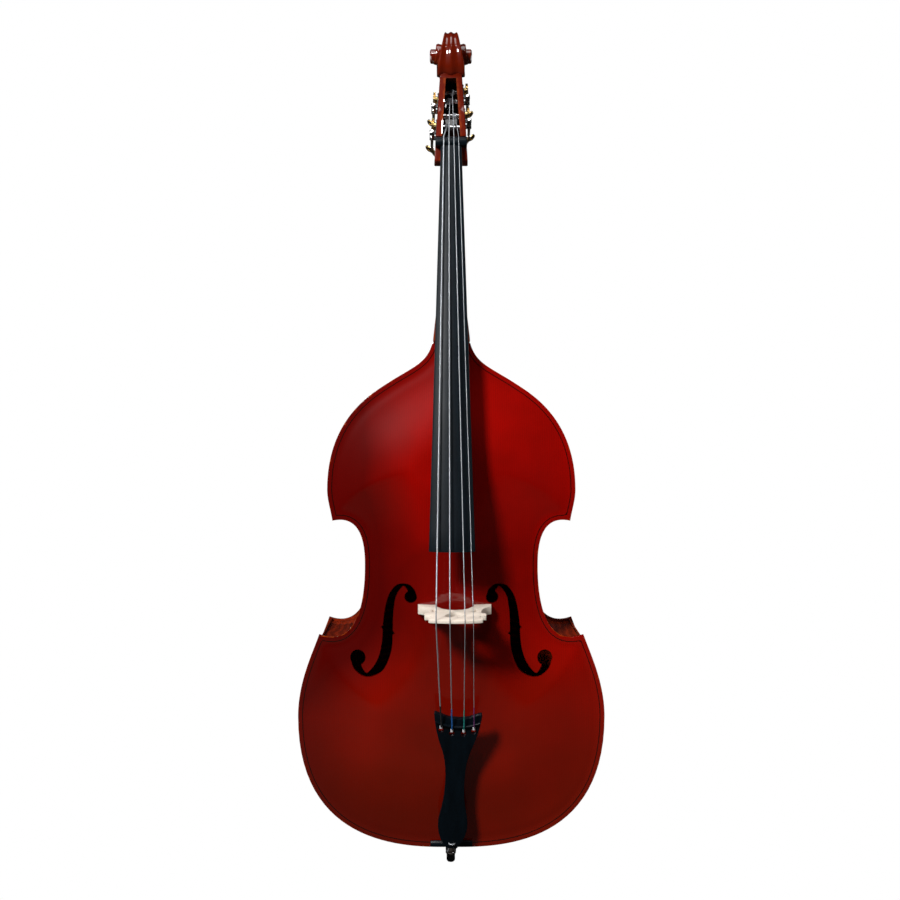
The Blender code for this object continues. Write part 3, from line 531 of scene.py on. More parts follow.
def settle(piece: bpy.types.Object, matrix: Matrix | None = None) -> bpy.types.Object:
    """Put a piece in place for good, with its place in its mesh.

    Args:
        piece: The object.
        matrix: Where it goes, on top of where it is.

    Returns:
        The same object, at the origin.
    """
    hold(piece)
    if matrix is not None:
        piece.matrix_world = matrix @ piece.matrix_world
    bpy.ops.object.transform_apply(location=True, rotation=True, scale=True)
    return piece


def outward(piece: bpy.types.Object) -> bpy.types.Object:
    """Merge doubles and point the faces out."""
    hold(piece)
    bpy.ops.object.mode_set(mode="EDIT")
    bpy.ops.mesh.select_all(action="SELECT")
    bpy.ops.mesh.remove_doubles(threshold=0.00001)
    bpy.ops.mesh.normals_make_consistent(inside=False)
    bpy.ops.object.mode_set(mode="OBJECT")
    return piece


def apply(piece: bpy.types.Object, kind: str, **settings: object) -> bpy.types.Object:
    """Add one modifier and apply it.

    Args:
        piece: The object.
        kind: The modifier's type.
        settings: Its properties.

    Returns:
        The same object.
    """
    hold(piece)
    step = piece.modifiers.new(kind.title(), kind)
    for key, value in settings.items():
        setattr(step, key, value)
    bpy.ops.object.modifier_apply(modifier=step.name)
    return piece


def cut(piece: bpy.types.Object, tool: bpy.types.Object, operation: str = "DIFFERENCE") -> bpy.types.Object:
    """Cut or join a piece with a tool, which is used up."""
    apply(piece, "BOOLEAN", operation=operation, object=tool, solver="EXACT")
    bpy.data.objects.remove(tool)
    return piece


def bevel(piece: bpy.types.Object, width: float, segments: int = 3, angle: float = 40) -> bpy.types.Object:
    """Round the edges sharper than angle."""
    return apply(piece, "BEVEL", width=width, segments=segments, limit_method="ANGLE",
                 angle_limit=math.radians(angle), harden_normals=False)


def smooth(piece: bpy.types.Object, angle: float = 40) -> bpy.types.Object:
    """Shade a piece smooth but for its sharp edges."""
    hold(piece)
    bpy.ops.object.shade_smooth_by_angle(angle=math.radians(angle))
    return piece


def joined(pieces: Iterable[bpy.types.Object], name: str) -> bpy.types.Object:
    """Join pieces into one object."""
    pieces = list(pieces)
    hold(pieces[0])
    for piece in pieces:
        piece.select_set(True)
    bpy.ops.object.join()
    return named(name)


def copied(piece: bpy.types.Object, name: str, matrix: Matrix) -> bpy.types.Object:
    """A copy with its own mesh, moved by a matrix."""
    twin = piece.copy()
    twin.data = piece.data.copy()
    twin.name = name
    bpy.context.scene.collection.objects.link(twin)
    return settle(twin, matrix)


def placed(name: str, data: bpy.types.ID) -> bpy.types.Object:
    """A new object of this data, in the scene."""
    made = bpy.data.objects.new(name, data)
    bpy.context.scene.collection.objects.link(made)
    return made


def swept(name: str, points: Sequence[Point], edges: Sequence[Point], faces: Sequence[Sequence[int]],
          sweep: Callable[[], object]) -> bpy.types.Object:
    """A bare profile or face that an edit-mode operator makes a solid.

    Args:
        name: The object's name.
        points: The profile's points.
        edges: Its edges, as pairs of points.
        faces: Its faces.
        sweep: Runs the operator.

    Returns:
        The closed object.
    """
    data = bpy.data.meshes.new(name)
    data.from_pydata(points, edges, faces)
    piece = placed(name, data)
    hold(piece)
    bpy.ops.object.mode_set(mode="EDIT")
    bpy.ops.mesh.select_all(action="SELECT")
    sweep()
    bpy.ops.object.mode_set(mode="OBJECT")
    return outward(piece)


def loft(name: str, rings: Sequence[Sequence[Point]], ring_ends: bool = True) -> bpy.types.Object:
    """A closed skin over rings of equally many points.

    Args:
        name: The object's name.
        rings: The sections, in order.
        ring_ends: Whether the first and last ring are capped; otherwise they are joined to each other.

    Returns:
        The object.
    """
    count = len(rings[0])
    points = [point for ring in rings for point in ring]
    pairs = list(zip(range(len(rings)), range(1, len(rings))))
    if not ring_ends:
        pairs.append((len(rings) - 1, 0))
    faces = [(a * count + i, a * count + (i + 1) % count, b * count + (i + 1) % count, b * count + i)
             for a, b in pairs for i in range(count)]
    if ring_ends:
        faces.append(tuple(range(count)))
        faces.append(tuple(range(len(points) - count, len(points))))
    data = bpy.data.meshes.new(name)
    data.from_pydata([tuple(point) for point in points], [], faces)
    return outward(placed(name, data))


def frame_at(centre: Point, along: Point, side: Vector = AXES["X"]) -> Matrix:
    """A matrix whose Z is along and whose X lies nearest to side."""
    z = Vector(along).normalized()
    y = z.cross(side).normalized()
    x = y.cross(z)
    return Matrix.Translation(centre) @ Matrix((x, y, z)).transposed().to_4x4()


def spun(name: str, profile: Sequence[Point], steps: int = 48) -> bpy.types.Object:
    """Turn a profile of (radius, height) about Z with the spin operator.

    Args:
        name: The object's name.
        profile: From the axis to the axis.
        steps: Sides of the round.

    Returns:
        The closed object.
    """
    points = [(r, 0, z) for r, z in profile]
    edges = [(i, i + 1) for i in range(len(profile) - 1)]
    return swept(name, points, edges, [],
                 lambda: bpy.ops.mesh.spin(steps=steps, angle=math.tau, center=(0, 0, 0), axis=(0, 0, 1)))


def flat(name: str, outline: Sequence[Point], thick: float) -> bpy.types.Object:
    """A flat outline in XY, thick about Z, raised from a filled face by the extrude operator."""
    points = [(x, y, -thick / 2) for x, y in outline]
    rise = {"value": (0, 0, thick)}
    return swept(name, points, [], [tuple(range(len(outline)))],
                 lambda: bpy.ops.mesh.extrude_region_move(TRANSFORM_OT_translate=rise))


def rod(name: str, radius: float, depth: float, sides: int, matrix: Matrix) -> bpy.types.Object:
    """A cylinder about Z, put in place by a matrix."""
    pick_none()
    bpy.ops.mesh.primitive_cylinder_add(vertices=sides, radius=radius, depth=depth)
    return settle(named(name), matrix)


def pipe(name: str, points: Sequence[Point], radius: float | Sequence[float], around: int = 12,
         ring: bool = False) -> bpy.types.Object:
    """A round tube along points, with a UV map of its length and its turn.

    Args:
        name: The object's name.
        points: The path, fine enough to look smooth.
        radius: One radius, or one for each point.
        around: Sides of the tube.
        ring: Whether the path closes on itself.

    Returns:
        The tube; U is metres along it, V goes once round from 0 to 1.
    """
    path = [Vector(point) for point in points]
    count = len(path)
    radii = [radius] * count if isinstance(radius, (int, float)) else list(radius)
    ahead = [(path[(i + 1) % count if ring else min(i + 1, count - 1)]
              - path[i - 1 if ring else max(i - 1, 0)]).normalized() for i in range(count)]
    side = ahead[0].orthogonal().normalized()
    rings, runs, run = [], [], 0.0
    for i, spot in enumerate(path):
        side = (side - ahead[i] * side.dot(ahead[i])).normalized()
        other = ahead[i].cross(side)
        run += (spot - path[i - 1]).length if i else 0.0
        runs.append(run)
        rings.append([spot + (side * math.cos(a) + other * math.sin(a)) * radii[i]
                      for a in (math.tau * k / around for k in range(around))])
    piece = loft(name, rings, not ring)
    data = piece.data
    layer = data.uv_layers.new(name="wound")
    starts = np.array([list(spot) for spot in path])
    spots = np.array([list(vert.co) for vert in data.vertices])
    nearest = np.array([int(np.argmin(((starts - spot) ** 2).sum(1))) for spot in spots])
    for face in data.polygons:
        turns = []
        for corner in face.loop_indices:
            index = data.loops[corner].vertex_index
            at = nearest[index]
            off = Vector(spots[index]) - path[at]
            base = Vector((0, 0, 1)) if abs(ahead[at].z) < 0.8 else Vector((0, 1, 0))
            base = (base - ahead[at] * base.dot(ahead[at])).normalized()
            turns.append(math.atan2(ahead[at].cross(base).dot(off), base.dot(off)) / math.tau % 1.0)
        wraps = max(turns) - min(turns) > 0.5
        for corner, turn in zip(face.loop_indices, turns):
            at = nearest[data.loops[corner].vertex_index]
            layer.data[corner].uv = (runs[at], turn + 1.0 if wraps and turn < 0.5 else turn)
    return smooth(piece, 60)


def through(points: Sequence[Point], steps: int, closed: bool = False) -> list[Vector]:
    """A smooth run that passes through each given point."""
    spots = [Vector(point) for point in points]
    count = len(spots)
    made = []
    for i in range(count if closed else count - 1):
        a, b, c, d = (spots[(i + k) % count] if closed else spots[min(max(i + k, 0), count - 1)]
                      for k in (-1, 0, 1, 2))
        for t in (j / steps for j in range(steps)):
            made.append(b + (c - a) * (t / 2) + (a * 2 - b * 5 + c * 4 - d) * (t * t / 2)
                        + (b * 3 - a - c * 3 + d) * (t**3 / 2))
    return made if closed else [*made, spots[-1]]


def mark(piece: bpy.types.Object, label: str, value: Callable[[Vector], float]) -> None:
    """Store a number for each point of a piece, which its finish reads."""
    layer = piece.data.attributes.new(label, "FLOAT", "POINT")
    layer.data.foreach_set("value", [value(vert.co) for vert in piece.data.vertices])


def wear_edges(piece: bpy.types.Object, low: float = 15, high: float = 70) -> None:
    """Store how sharply the surface turns at each point, so that a finish can rub through there."""
    shape = bmesh.new()
    shape.from_mesh(piece.data)
    layer = piece.data.attributes.new("wear", "FLOAT", "POINT")
    for vert in shape.verts:
        turn = max((edge.calc_face_angle(0.0) for edge in vert.link_edges if edge.is_manifold), default=0.0)
        share = (math.degrees(turn) - low) / (high - low)
        layer.data[vert.index].value = min(max(share, 0.0), 1.0)
    shape.free()


def done(piece: bpy.types.Object, finish: Finish, body: str, slot: str, *stands_for: str) -> bpy.types.Object:
    """Dress a finished piece and fasten it to its body.

    Args:
        piece: The object.
        finish: The finish that makes its material.
        body: The body it rides on.
        slot: The record's material slot; not used.
        stands_for: CAD nodes that it replaces.

    Returns:
        The same object.
    """
    piece.data.materials.clear()
    piece.data.materials.append(MATERIALS.get(finish))
    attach(piece, body)
    if stands_for:
        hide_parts(*stands_for)
    LOG.info("%s rides on %s", piece.name, body)
    return piece


class Materials:
    """Makes each finish once and hands out its material."""

    def __init__(self) -> None:
        """Start with none made."""
        self.made: dict[Finish, bpy.types.Material] = {}

    def get(self, finish: Finish) -> bpy.types.Material:
        """The material of a finish."""
        if finish not in self.made:
            self.made[finish] = finish.make()
        return self.made[finish]


MATERIALS = Materials()


def refinish(frame: dict, finish: Finish, *nodes: str) -> None:
    """Give CAD nodes that stay in view a finish."""
    for node in nodes:
        piece = frame["nodes"][node]
        for slot in piece.material_slots:
            slot.material = MATERIALS.get(finish)
        LOG.info("%s keeps its shape", node)


# ---------------------------------------------------------------- body


class Side(Enum):
    """Left is the low string's side, at -X."""

    LEFT = -1
    RIGHT = 1

    @property
    def label(self) -> str:
        """The side's name in the frame's nodes."""
        return self.name.lower()


@dataclass
class Outline:
    """The body's half outline on the +X side, top to bottom, as Bezier runs of (x, z).

    Attributes:
        upper: The upper bout.
        waist: The waist between the corners.
        lower: The lower bout.
        steps: Points on each Bezier.
    """

    upper: tuple = (
        ((0.0415, 1.187), (0.056, 1.137), (0.087, 1.135), (0.1575, 1.087)),
        ((0.1575, 1.087), (0.200, 1.059), (0.2737, 0.999), (0.2737, 0.864)),
        ((0.2737, 0.864), (0.2737, 0.840), (0.2655, 0.818), (0.2622, 0.795)),
    )
    waist: tuple = (
        ((0.2622, 0.795), (0.191, 0.811), (0.1904, 0.727), (0.1904, 0.695)),
        ((0.1904, 0.695), (0.1904, 0.640), (0.1984, 0.510), (0.2915, 0.544)),
    )
    lower: tuple = (
        ((0.2915, 0.544), (0.305, 0.505), (0.3378, 0.440), (0.3378, 0.364)),
        ((0.3378, 0.364), (0.3378, 0.065), (0.080, 0.076), (0.0, 0.076)),
    )
    steps: int = 30

    def run(self, segments: tuple) -> list[Vector]:
        """The points of one run."""
        points = []
        for knots in segments:
            a, b, c, d = (Vector(knot) for knot in knots)
            for t in (i / self.steps for i in range(self.steps)):
                u = 1 - t
                points.append(a * u**3 + b * 3 * u * u * t + c * 3 * u * t * t + d * t**3)
        return [*points, Vector(segments[-1][-1])]

    def half(self) -> list[Vector]:
        """The whole half outline."""
        return [*self.run(self.upper), *self.run(self.waist)[1:], *self.run(self.lower)[1:]]

    def whole(self) -> list[Vector]:
        """The closed outline."""
        half = self.half()
        return [*half, *(Vector((-x, z)) for x, z in reversed(half[:-1]))]

    def distance(self, x: np.ndarray, z: np.ndarray) -> np.ndarray:
        """How far points of the body are from its nearest edge."""
        half = np.array([list(point) for point in self.half()])
        spots = np.stack([np.abs(x), z], axis=1)[:, None, :]
        start, side = half[:-1], half[1:] - half[:-1]
        share = ((spots - start) * side).sum(2) / (side**2).sum(1)
        gap = spots - start - side * np.clip(share, 0, 1)[..., None]
        return np.sqrt((gap**2).sum(2).min(1))


def inset(points: Sequence[Vector], distance: float) -> list[Vector]:
    """A run moved towards the inside of the body."""
    moved = []
    for i, point in enumerate(points):
        ahead = (points[min(i + 1, len(points) - 1)] - points[max(i - 1, 0)]).normalized()
        moved.append(point + Vector((ahead.y, -ahead.x)) * distance)
    return moved


def crossing(first: Sequence[Vector], second: Sequence[Vector]) -> tuple[Vector, int]:
    """Where a run meets another: the point, and the segment of the second."""
    for a, b in zip(first, first[1:]):
        for j, (c, d) in enumerate(zip(second, second[1:])):
            r, s = b - a, d - c
            cross = r.x * s.y - r.y * s.x
            if abs(cross) < 1e-12:
                continue
            t = ((c.x - a.x) * s.y - (c.y - a.y) * s.x) / cross
            u = ((c.x - a.x) * r.y - (c.y - a.y) * r.x) / cross
            if 0 <= t <= 1 and 0 <= u <= 1:
                return a + r * t, j
    raise ValueError("the runs don't meet")


@dataclass
class Corpus:
    """The hollow body: two arched plates, six ribs and what stands inside them.

    Attributes:
        frame: The loaded frame.
        outline: The body's outline.
        plate: Thickness of the plates.
        rib: Thickness of the ribs.
        overhang: How far the plates stand past the ribs.
        reach: How far in from the edge the arching rises.
        top_arch: Height of the top's arching.
        back_arch: Height of the back's arching.
        channel: Depth of the scooped channel inside the edge.
        cell: Size of the mesh's cells.
    """

    frame: dict
    outline: Outline = field(default_factory=Outline)
    plate: float = 0.0065
    rib: float = 0.003
    overhang: float = 0.006
    reach: float = 0.19
    top_arch: float = 0.028
    back_arch: float = 0.022
    channel: float = 0.0011
    cell: float = 0.0078

    def __post_init__(self) -> None:
        """Find the edge planes from the ribs."""
        low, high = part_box("upper_rib_left")
        self.front = low[1] - GAP - self.plate
        self.back = high[1] + GAP + self.plate

    def swell(self, x: np.ndarray, z: np.ndarray, height: float) -> np.ndarray:
        """How far a plate stands out over its edge."""
        away = self.outline.distance(x, z)
        share = np.clip(away / self.reach, 0, 1)
        scoop = self.channel * np.exp(-(((away - 0.019) / 0.008) ** 2))
        return height * share**2 * (3 - 2 * share) - scoop

    def belly(self, x: float, z: float) -> float:
        """Depth of the top plate's outer surface."""
        return self.front - float(self.swell(np.array([x]), np.array([z]), self.top_arch)[0])

    def build(self) -> None:
        """Build and dress every piece of the body."""
        top = self._plate("top", self.front, -1, self.top_arch)
        for side in Side:
            for tool in self._sound_hole(side):
                cut(top, tool)
        self._inlay(top)
        done(top, TOP_VARNISH, "bass", "varnished_top", "top_plate")
        back = self._plate("back", self.back, 1, self.back_arch)
        self._inlay(back)
        mark(back, "run", lambda spot: spot.z + 0.22 * abs(spot.x))
        done(back, BACK_VARNISH, "bass", "varnished_back", "back_plate")
        for side in Side:
            self._ribs(side)
        inside = [node for node in self.frame["nodes"] if "lining" in node or "block" in node]
        refinish(self.frame, INSIDE_WOOD, *inside, "bass_bar", "sound_post")

    def _plate(self, name: str, edge: float, outward_y: int, height: float) -> bpy.types.Object:
        """One arched plate with a rounded edge."""
        shape = bmesh.new()
        shape.faces.new([shape.verts.new((x, edge, z)) for x, z in self.outline.whole()])
        low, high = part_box("top_plate")
        for axis, place in ((AXES["X"], 0), (AXES["Z"], 2)):
            for i in range(1, int((high[place] - low[place]) / self.cell) + 1):
                bmesh.ops.bisect_plane(shape, geom=[*shape.verts, *shape.edges, *shape.faces], dist=0.0004,
                                       plane_co=axis * (low[place] + self.cell * i), plane_no=axis)
        x = np.array([vert.co.x for vert in shape.verts])
        z = np.array([vert.co.z for vert in shape.verts])
        for vert, rise in zip(shape.verts, self.swell(x, z, height)):
            vert.co.y += outward_y * (rise - self.plate / 2)
        data = bpy.data.meshes.new(name)
        shape.to_mesh(data)
        shape.free()
        piece = placed(name, data)
        apply(piece, "SOLIDIFY", thickness=self.plate, offset=0)
        outward(piece)
        return bevel(piece, 0.0022, 3, 50)

    def _sound_hole(self, side: Side) -> list[bpy.types.Object]:
        """The cutters of one f-hole: a swelling stem with nicks, and two round eyes."""
        outer = (((0.0765, 0.629), (0.0800, 0.645), (0.0915, 0.6560), (0.106, 0.6588), (0.122, 0.6540),
                  (0.1365, 0.635), (0.1447, 0.610), (0.149, 0.582), (0.1505, 0.566)),
                 ((0.1508, 0.558), (0.1522, 0.532), (0.158, 0.503), (0.168, 0.4815), (0.184, 0.4640),
                  (0.1925, 0.470), (0.198, 0.481)))
        inner = (((0.2212, 0.492), (0.2145, 0.4725), (0.199, 0.4585), (0.1825, 0.4545), (0.166, 0.4587),
                  (0.150, 0.4695), (0.138, 0.491), (0.1303, 0.518), (0.1284, 0.546)),
                 ((0.1281, 0.554), (0.1280, 0.580), (0.1257, 0.610), (0.1196, 0.635), (0.106, 0.6525),
                  (0.0985, 0.6475), (0.095, 0.640)))
        outline = [*through(outer[0], 6), Vector((0.1555, 0.562)), *through(outer[1], 6),
                   *through(inner[0], 6), Vector((0.1235, 0.550)), *through(inner[1], 6)]
        stem = flat("f_stem", [(x * side.value, z) for x, z in outline], 0.07)
        tools = [settle(stem, Matrix.Translation((0, self.front, 0)) @ FACING)]
        for radius, x, z in ((0.0136, 0.089, 0.630), (0.0168, 0.2054, 0.4955)):
            at = Matrix.Translation((x * side.value, self.front, z))
            tools.append(rod("f_eye", radius, 0.08, 56, at @ FACING))
        return tools

    def _inlay(self, plate: bpy.types.Object) -> None:
        """Mark the purfling line and the worn edge, and shade the plate."""
        x = np.array([vert.co.x for vert in plate.data.vertices])
        z = np.array([vert.co.z for vert in plate.data.vertices])
        away = self.outline.distance(x, z)
        wear = plate.data.attributes.new("wear", "FLOAT", "POINT")
        wear.data.foreach_set("value", np.clip(1 - away / 0.0035, 0, 1) * 0.75)
        rim = plate.data.attributes.new("rim", "FLOAT", "POINT")
        rim.data.foreach_set("value", away)
        smooth(plate, 38)

    def _ribs(self, side: Side) -> None:
        """The three bent ribs of one side."""
        middle_line = self.overhang + self.rib / 2
        upper = inset(self.outline.run(self.outline.upper), middle_line)
        lower = inset(self.outline.run(self.outline.lower), middle_line)
        lower[-1].x = GAP / 2
        clear = middle_line + self.rib + GAP
        waist = inset(self.outline.run(self.outline.waist), middle_line)
        start, first = crossing(inset(self.outline.run(self.outline.upper), clear), waist)
        end, last = crossing(inset(self.outline.run(self.outline.lower), clear), waist)
        waist = [start, *waist[first + 1:last + 1], end]
        depth = self.back - self.front - 2 * (self.plate + GAP)
        for name, line in (("upper_rib", upper), ("waist_rib", waist), ("lower_rib", lower)):
            band = [*inset(line, -self.rib / 2), *reversed(inset(line, self.rib / 2))]
            outline = [(x * side.value, z) for x, z in band]
            piece = settle(flat(f"{name}_band_{side.label}", outline, depth), FACING)
            if name == "lower_rib":
                cut(piece, rod("plug_hole", 0.0165, 0.1, 40, Matrix.Translation((0, 0, 0.095))))
            runs = np.cumsum([0.0, *((b - a).length for a, b in zip(line, line[1:]))])
            spots = np.array([list(point) for point in line])

            def along(spot: Vector) -> float:
                """Length along the rib at the nearest point of its line."""
                return float(runs[np.argmin((spots[:, 0] - abs(spot.x)) ** 2 + (spots[:, 1] - spot.z) ** 2)])

            mark(piece, "run", along)
            smooth(piece, 30)
            done(piece, BACK_VARNISH, "bass", "varnished_back", f"{name}_{side.label}")


# ---------------------------------------------------------------- neck


@dataclass(frozen=True)
class Setup:
    """Where the strings run, which the neck, board, nut and bridge all follow.

    Attributes:
        nut: Depth and height of the string plane at the nut.
        bridge: Depth and height of the bridge's crown.
        bridge_x: How far the bridge stands off the centre line.
        lean: How much higher its crown is than its feet.
        board_end: Height of the fingerboard's lower end.
        lift: Clearance of the string plane over the board, at the nut and at the board's end.
        board_half: Half widths of the board at the same two places.
        board_thick: Thickness of the board at its middle.
    """

    nut: Point = (-0.084, 1.640)
    bridge: Point = (-0.292, 0.605)
    bridge_x: float = 0.007
    lean: float = 0.0045
    board_end: float = 0.7445
    lift: Point = (0.004, 0.013)
    board_half: Point = (0.023, 0.048)
    board_thick: float = 0.020

    def share(self, z: float) -> float:
        """How far down the board a height is, 0 at the nut and 1 at its end."""
        return (self.nut[1] - z) / (self.nut[1] - self.board_end)

    def board_y(self, z: float) -> float:
        """Depth of the board's crown."""
        slope = (self.bridge[0] - self.nut[0]) / (self.nut[1] - self.bridge[1])
        string_y = self.nut[0] + slope * (self.nut[1] - z)
        return string_y + self.lift[0] + (self.lift[1] - self.lift[0]) * self.share(z)

    @property
    def nut_crest(self) -> float:
        """Depth of the nut's front, where the strings lie in their grooves."""
        return self.nut[0] + 0.0018

    def crest(self, x: float) -> float:
        """Depth of the bridge's crowned edge."""
        return self.bridge[0] + 0.0015 + 0.012 * ((x - self.bridge_x) / 0.055) ** 2


@dataclass(frozen=True)
class Pegbox:
    """The box that the strings are wound in.

    Attributes:
        heights: Two heights that the half widths belong to.
        outside: Half widths of the box there.
        inside: Half widths of its hollow there.
        hollow: Heights of the hollow's floor and roof.
    """

    heights: Point = (1.629, 1.781)
    outside: Point = (0.0345, 0.0262)
    inside: Point = (0.0205, 0.0125)
    hollow: Point = (1.6512, 1.7915)

    def half(self, z: float, widths: Point | None = None) -> float:
        """Half width at a height."""
        low, high = widths or self.outside
        return low + (high - low) * (z - self.heights[0]) / (self.heights[1] - self.heights[0])

    def block(self, name: str, outline: Sequence[Point], widths: Point) -> bpy.types.Object:
        """An outline in YZ, two metres wide about X, pulled in to its half width at every height."""
        piece = settle(flat(name, outline, 2.0), SIDEWAYS)
        for vert in piece.data.vertices:
            vert.co.x = math.copysign(self.half(vert.co.z, widths), vert.co.x)
        return outward(piece)


NECK_BOX = Pegbox(outside=(0.0358, 0.0262), inside=(0.0222, 0.0125))  # the carved one, over the machines' own


@dataclass
class Volute:
    """The scroll: a band that narrows over the top and widens as it winds in to its eye.

    Attributes:
        centre: The eye's depth and height.
        turns: Angle in degrees from the back over the top, outer radius and half width.
        flute: Depth of the two channels down the band.
        eye: Radius of the eye and how far it stands out.
    """

    centre: Point = (-0.010, 1.853)
    turns: tuple = (
        (-62, 0.0500, 0.0262), (0, 0.0510, 0.0222), (60, 0.0522, 0.0172), (111, 0.0528, 0.0145),
        (135, 0.0532, 0.0160), (160, 0.0538, 0.0190), (180, 0.0545, 0.0225), (205, 0.0572, 0.0270),
        (225, 0.0630, 0.0300), (238, 0.0650, 0.0312), (250, 0.0585, 0.0317), (290, 0.0385, 0.0320),
        (360, 0.0335, 0.0324), (450, 0.0292, 0.0332), (540, 0.0235, 0.0350), (630, 0.0195, 0.0385),
        (720, 0.0165, 0.0420), (790, 0.0140, 0.0430),
    )
    flute: float = 0.0034
    eye: Point = (0.0158, 0.0483)

    def build(self) -> bpy.types.Object:
        """Wind the band and set its eyes.

        Returns:
            The scroll, not yet dressed.
        """
        stations = through([Vector(turn) for turn in self.turns], 9)
        band = loft("volute", [self._section(*station) for station in stations])
        radius, reach = self.eye
        end = [(0, reach), (radius * 0.5, reach), (radius * 0.85, reach - 0.0008), (radius, reach - 0.003)]
        profile = [*end, *[(r, -x) for r, x in reversed(end)]]
        eyes = settle(spun("volute_eyes", profile, 40), frame_at((0, *self.centre), AXES["X"], AXES["Z"]))
        return joined([band, eyes], "scroll")

    def _section(self, degrees: float, radius: float, half: float) -> list[Vector]:
        """One radial section, fluted outside and hollowed a little at its sides."""
        turn = math.radians(degrees)
        away = Vector((0, math.cos(turn), math.sin(turn)))
        centre = Vector((0, *self.centre))
        depth = self.flute * min(1.0, radius / 0.035)
        crown = []
        for i in range(17):
            share = 1 - i / 8
            chamfer = 0.0020 * max(0.0, abs(share) - 0.875) / 0.125
            crown.append((radius - depth * math.sin(math.pi * share) ** 2 - chamfer, half * share))
        sides = [(radius - 0.0045, half + 0.0004), (radius * 0.62, half - 0.0010),
                 (radius * 0.30, half + 0.0012)]
        ring = [*reversed(sides), *crown, *[(r, -x) for r, x in sides]]
        return [centre + away * r + AXES["X"] * x for r, x in ring]


@dataclass
class Neck:
    """The neck with its heel, its pegbox and its scroll.

    Attributes:
        setup: The strings' run.
        pegbox: The pegbox's widths.
        machines: The tuning machines, whose rollers cross the box.
    """

    setup: Setup
    pegbox: Pegbox
    machines: "Sequence[Machine]"

    def build(self, heel: float, back: float) -> None:
        """Carve the neck.

        Args:
            heel: Height of the heel's lower end.
            back: Depth of the heel's rear edge.
        """
        deep = back - self.setup.board_y(heel) - self.setup.board_thick
        stations = ((heel, 0.040, deep), (1.196, 0.0393, deep - 0.003), (1.206, 0.0382, deep - 0.014),
                    (1.214, 0.0373, 0.150), (1.222, 0.0365, 0.122), (1.240, 0.0345, 0.075),
                    (1.262, 0.0325, 0.047), (1.300, 0.0300, 0.0335), (1.420, 0.0260, 0.029),
                    (1.600, 0.0220, 0.026), (1.6285, 0.0215, 0.026))
        neck = loft("neck_wood", [self._section(*spot) for spot in through(stations, 7)])
        floor_z, roof_z = self.pegbox.hollow
        front = [(-0.0600, 1.600), (-0.0600, 1.6516), (-0.0700, 1.6520)]
        cheek = through([(-0.0700, 1.6520), (-0.0600, 1.700), (-0.0505, 1.740), (-0.0440, 1.7925)], 5)
        throat = through([(-0.0435, 1.7960), (-0.0440, 1.8080), (-0.030, 1.826)], 4)
        rear = through([(0.0150, 1.850), (0.0330, 1.826), (0.0345, 1.790), (0.0290, 1.740), (0.0190, 1.700),
                        (0.0000, 1.665), (-0.0220, 1.640), (-0.0340, 1.612), (-0.0400, 1.592)], 5)
        box = self.pegbox.block("box", [*front, *cheek[1:], *throat, *rear], self.pegbox.outside)
        cut(neck, bevel(box, 0.003, 3, 60), "UNION")
        floor = through([(-0.055, floor_z), (-0.030, 1.664), (-0.004, 1.683), (0.009, 1.706), (0.017, 1.740),
                         (0.022, 1.785)], 5)
        hollow = [(-0.100, floor_z), *floor, (0.015, roof_z), (-0.100, roof_z)]
        cut(neck, bevel(self.pegbox.block("hollow", hollow, self.pegbox.inside), 0.0015, 2, 60))
        for machine in self.machines:
            cut(neck, machine.hole())
        smooth(neck, 32)
        scroll = smooth(Volute().build(), 42)
        neck = joined([neck, scroll], "neck_and_scroll")
        wear_edges(neck, 24, 75)
        done(neck, NECK_VARNISH, "bass", "varnished_neck", "neck")

    def _section(self, z: float, half: float, depth: float) -> list[Point]:
        """One section of the neck, flat under the board and round behind."""
        front = self.setup.board_y(z) + self.setup.board_thick + GAP
        turns = [math.pi * i / 28 for i in range(29)]
        return [(half * math.cos(a), front + depth * math.sin(a) ** 0.8, z) for a in turns]


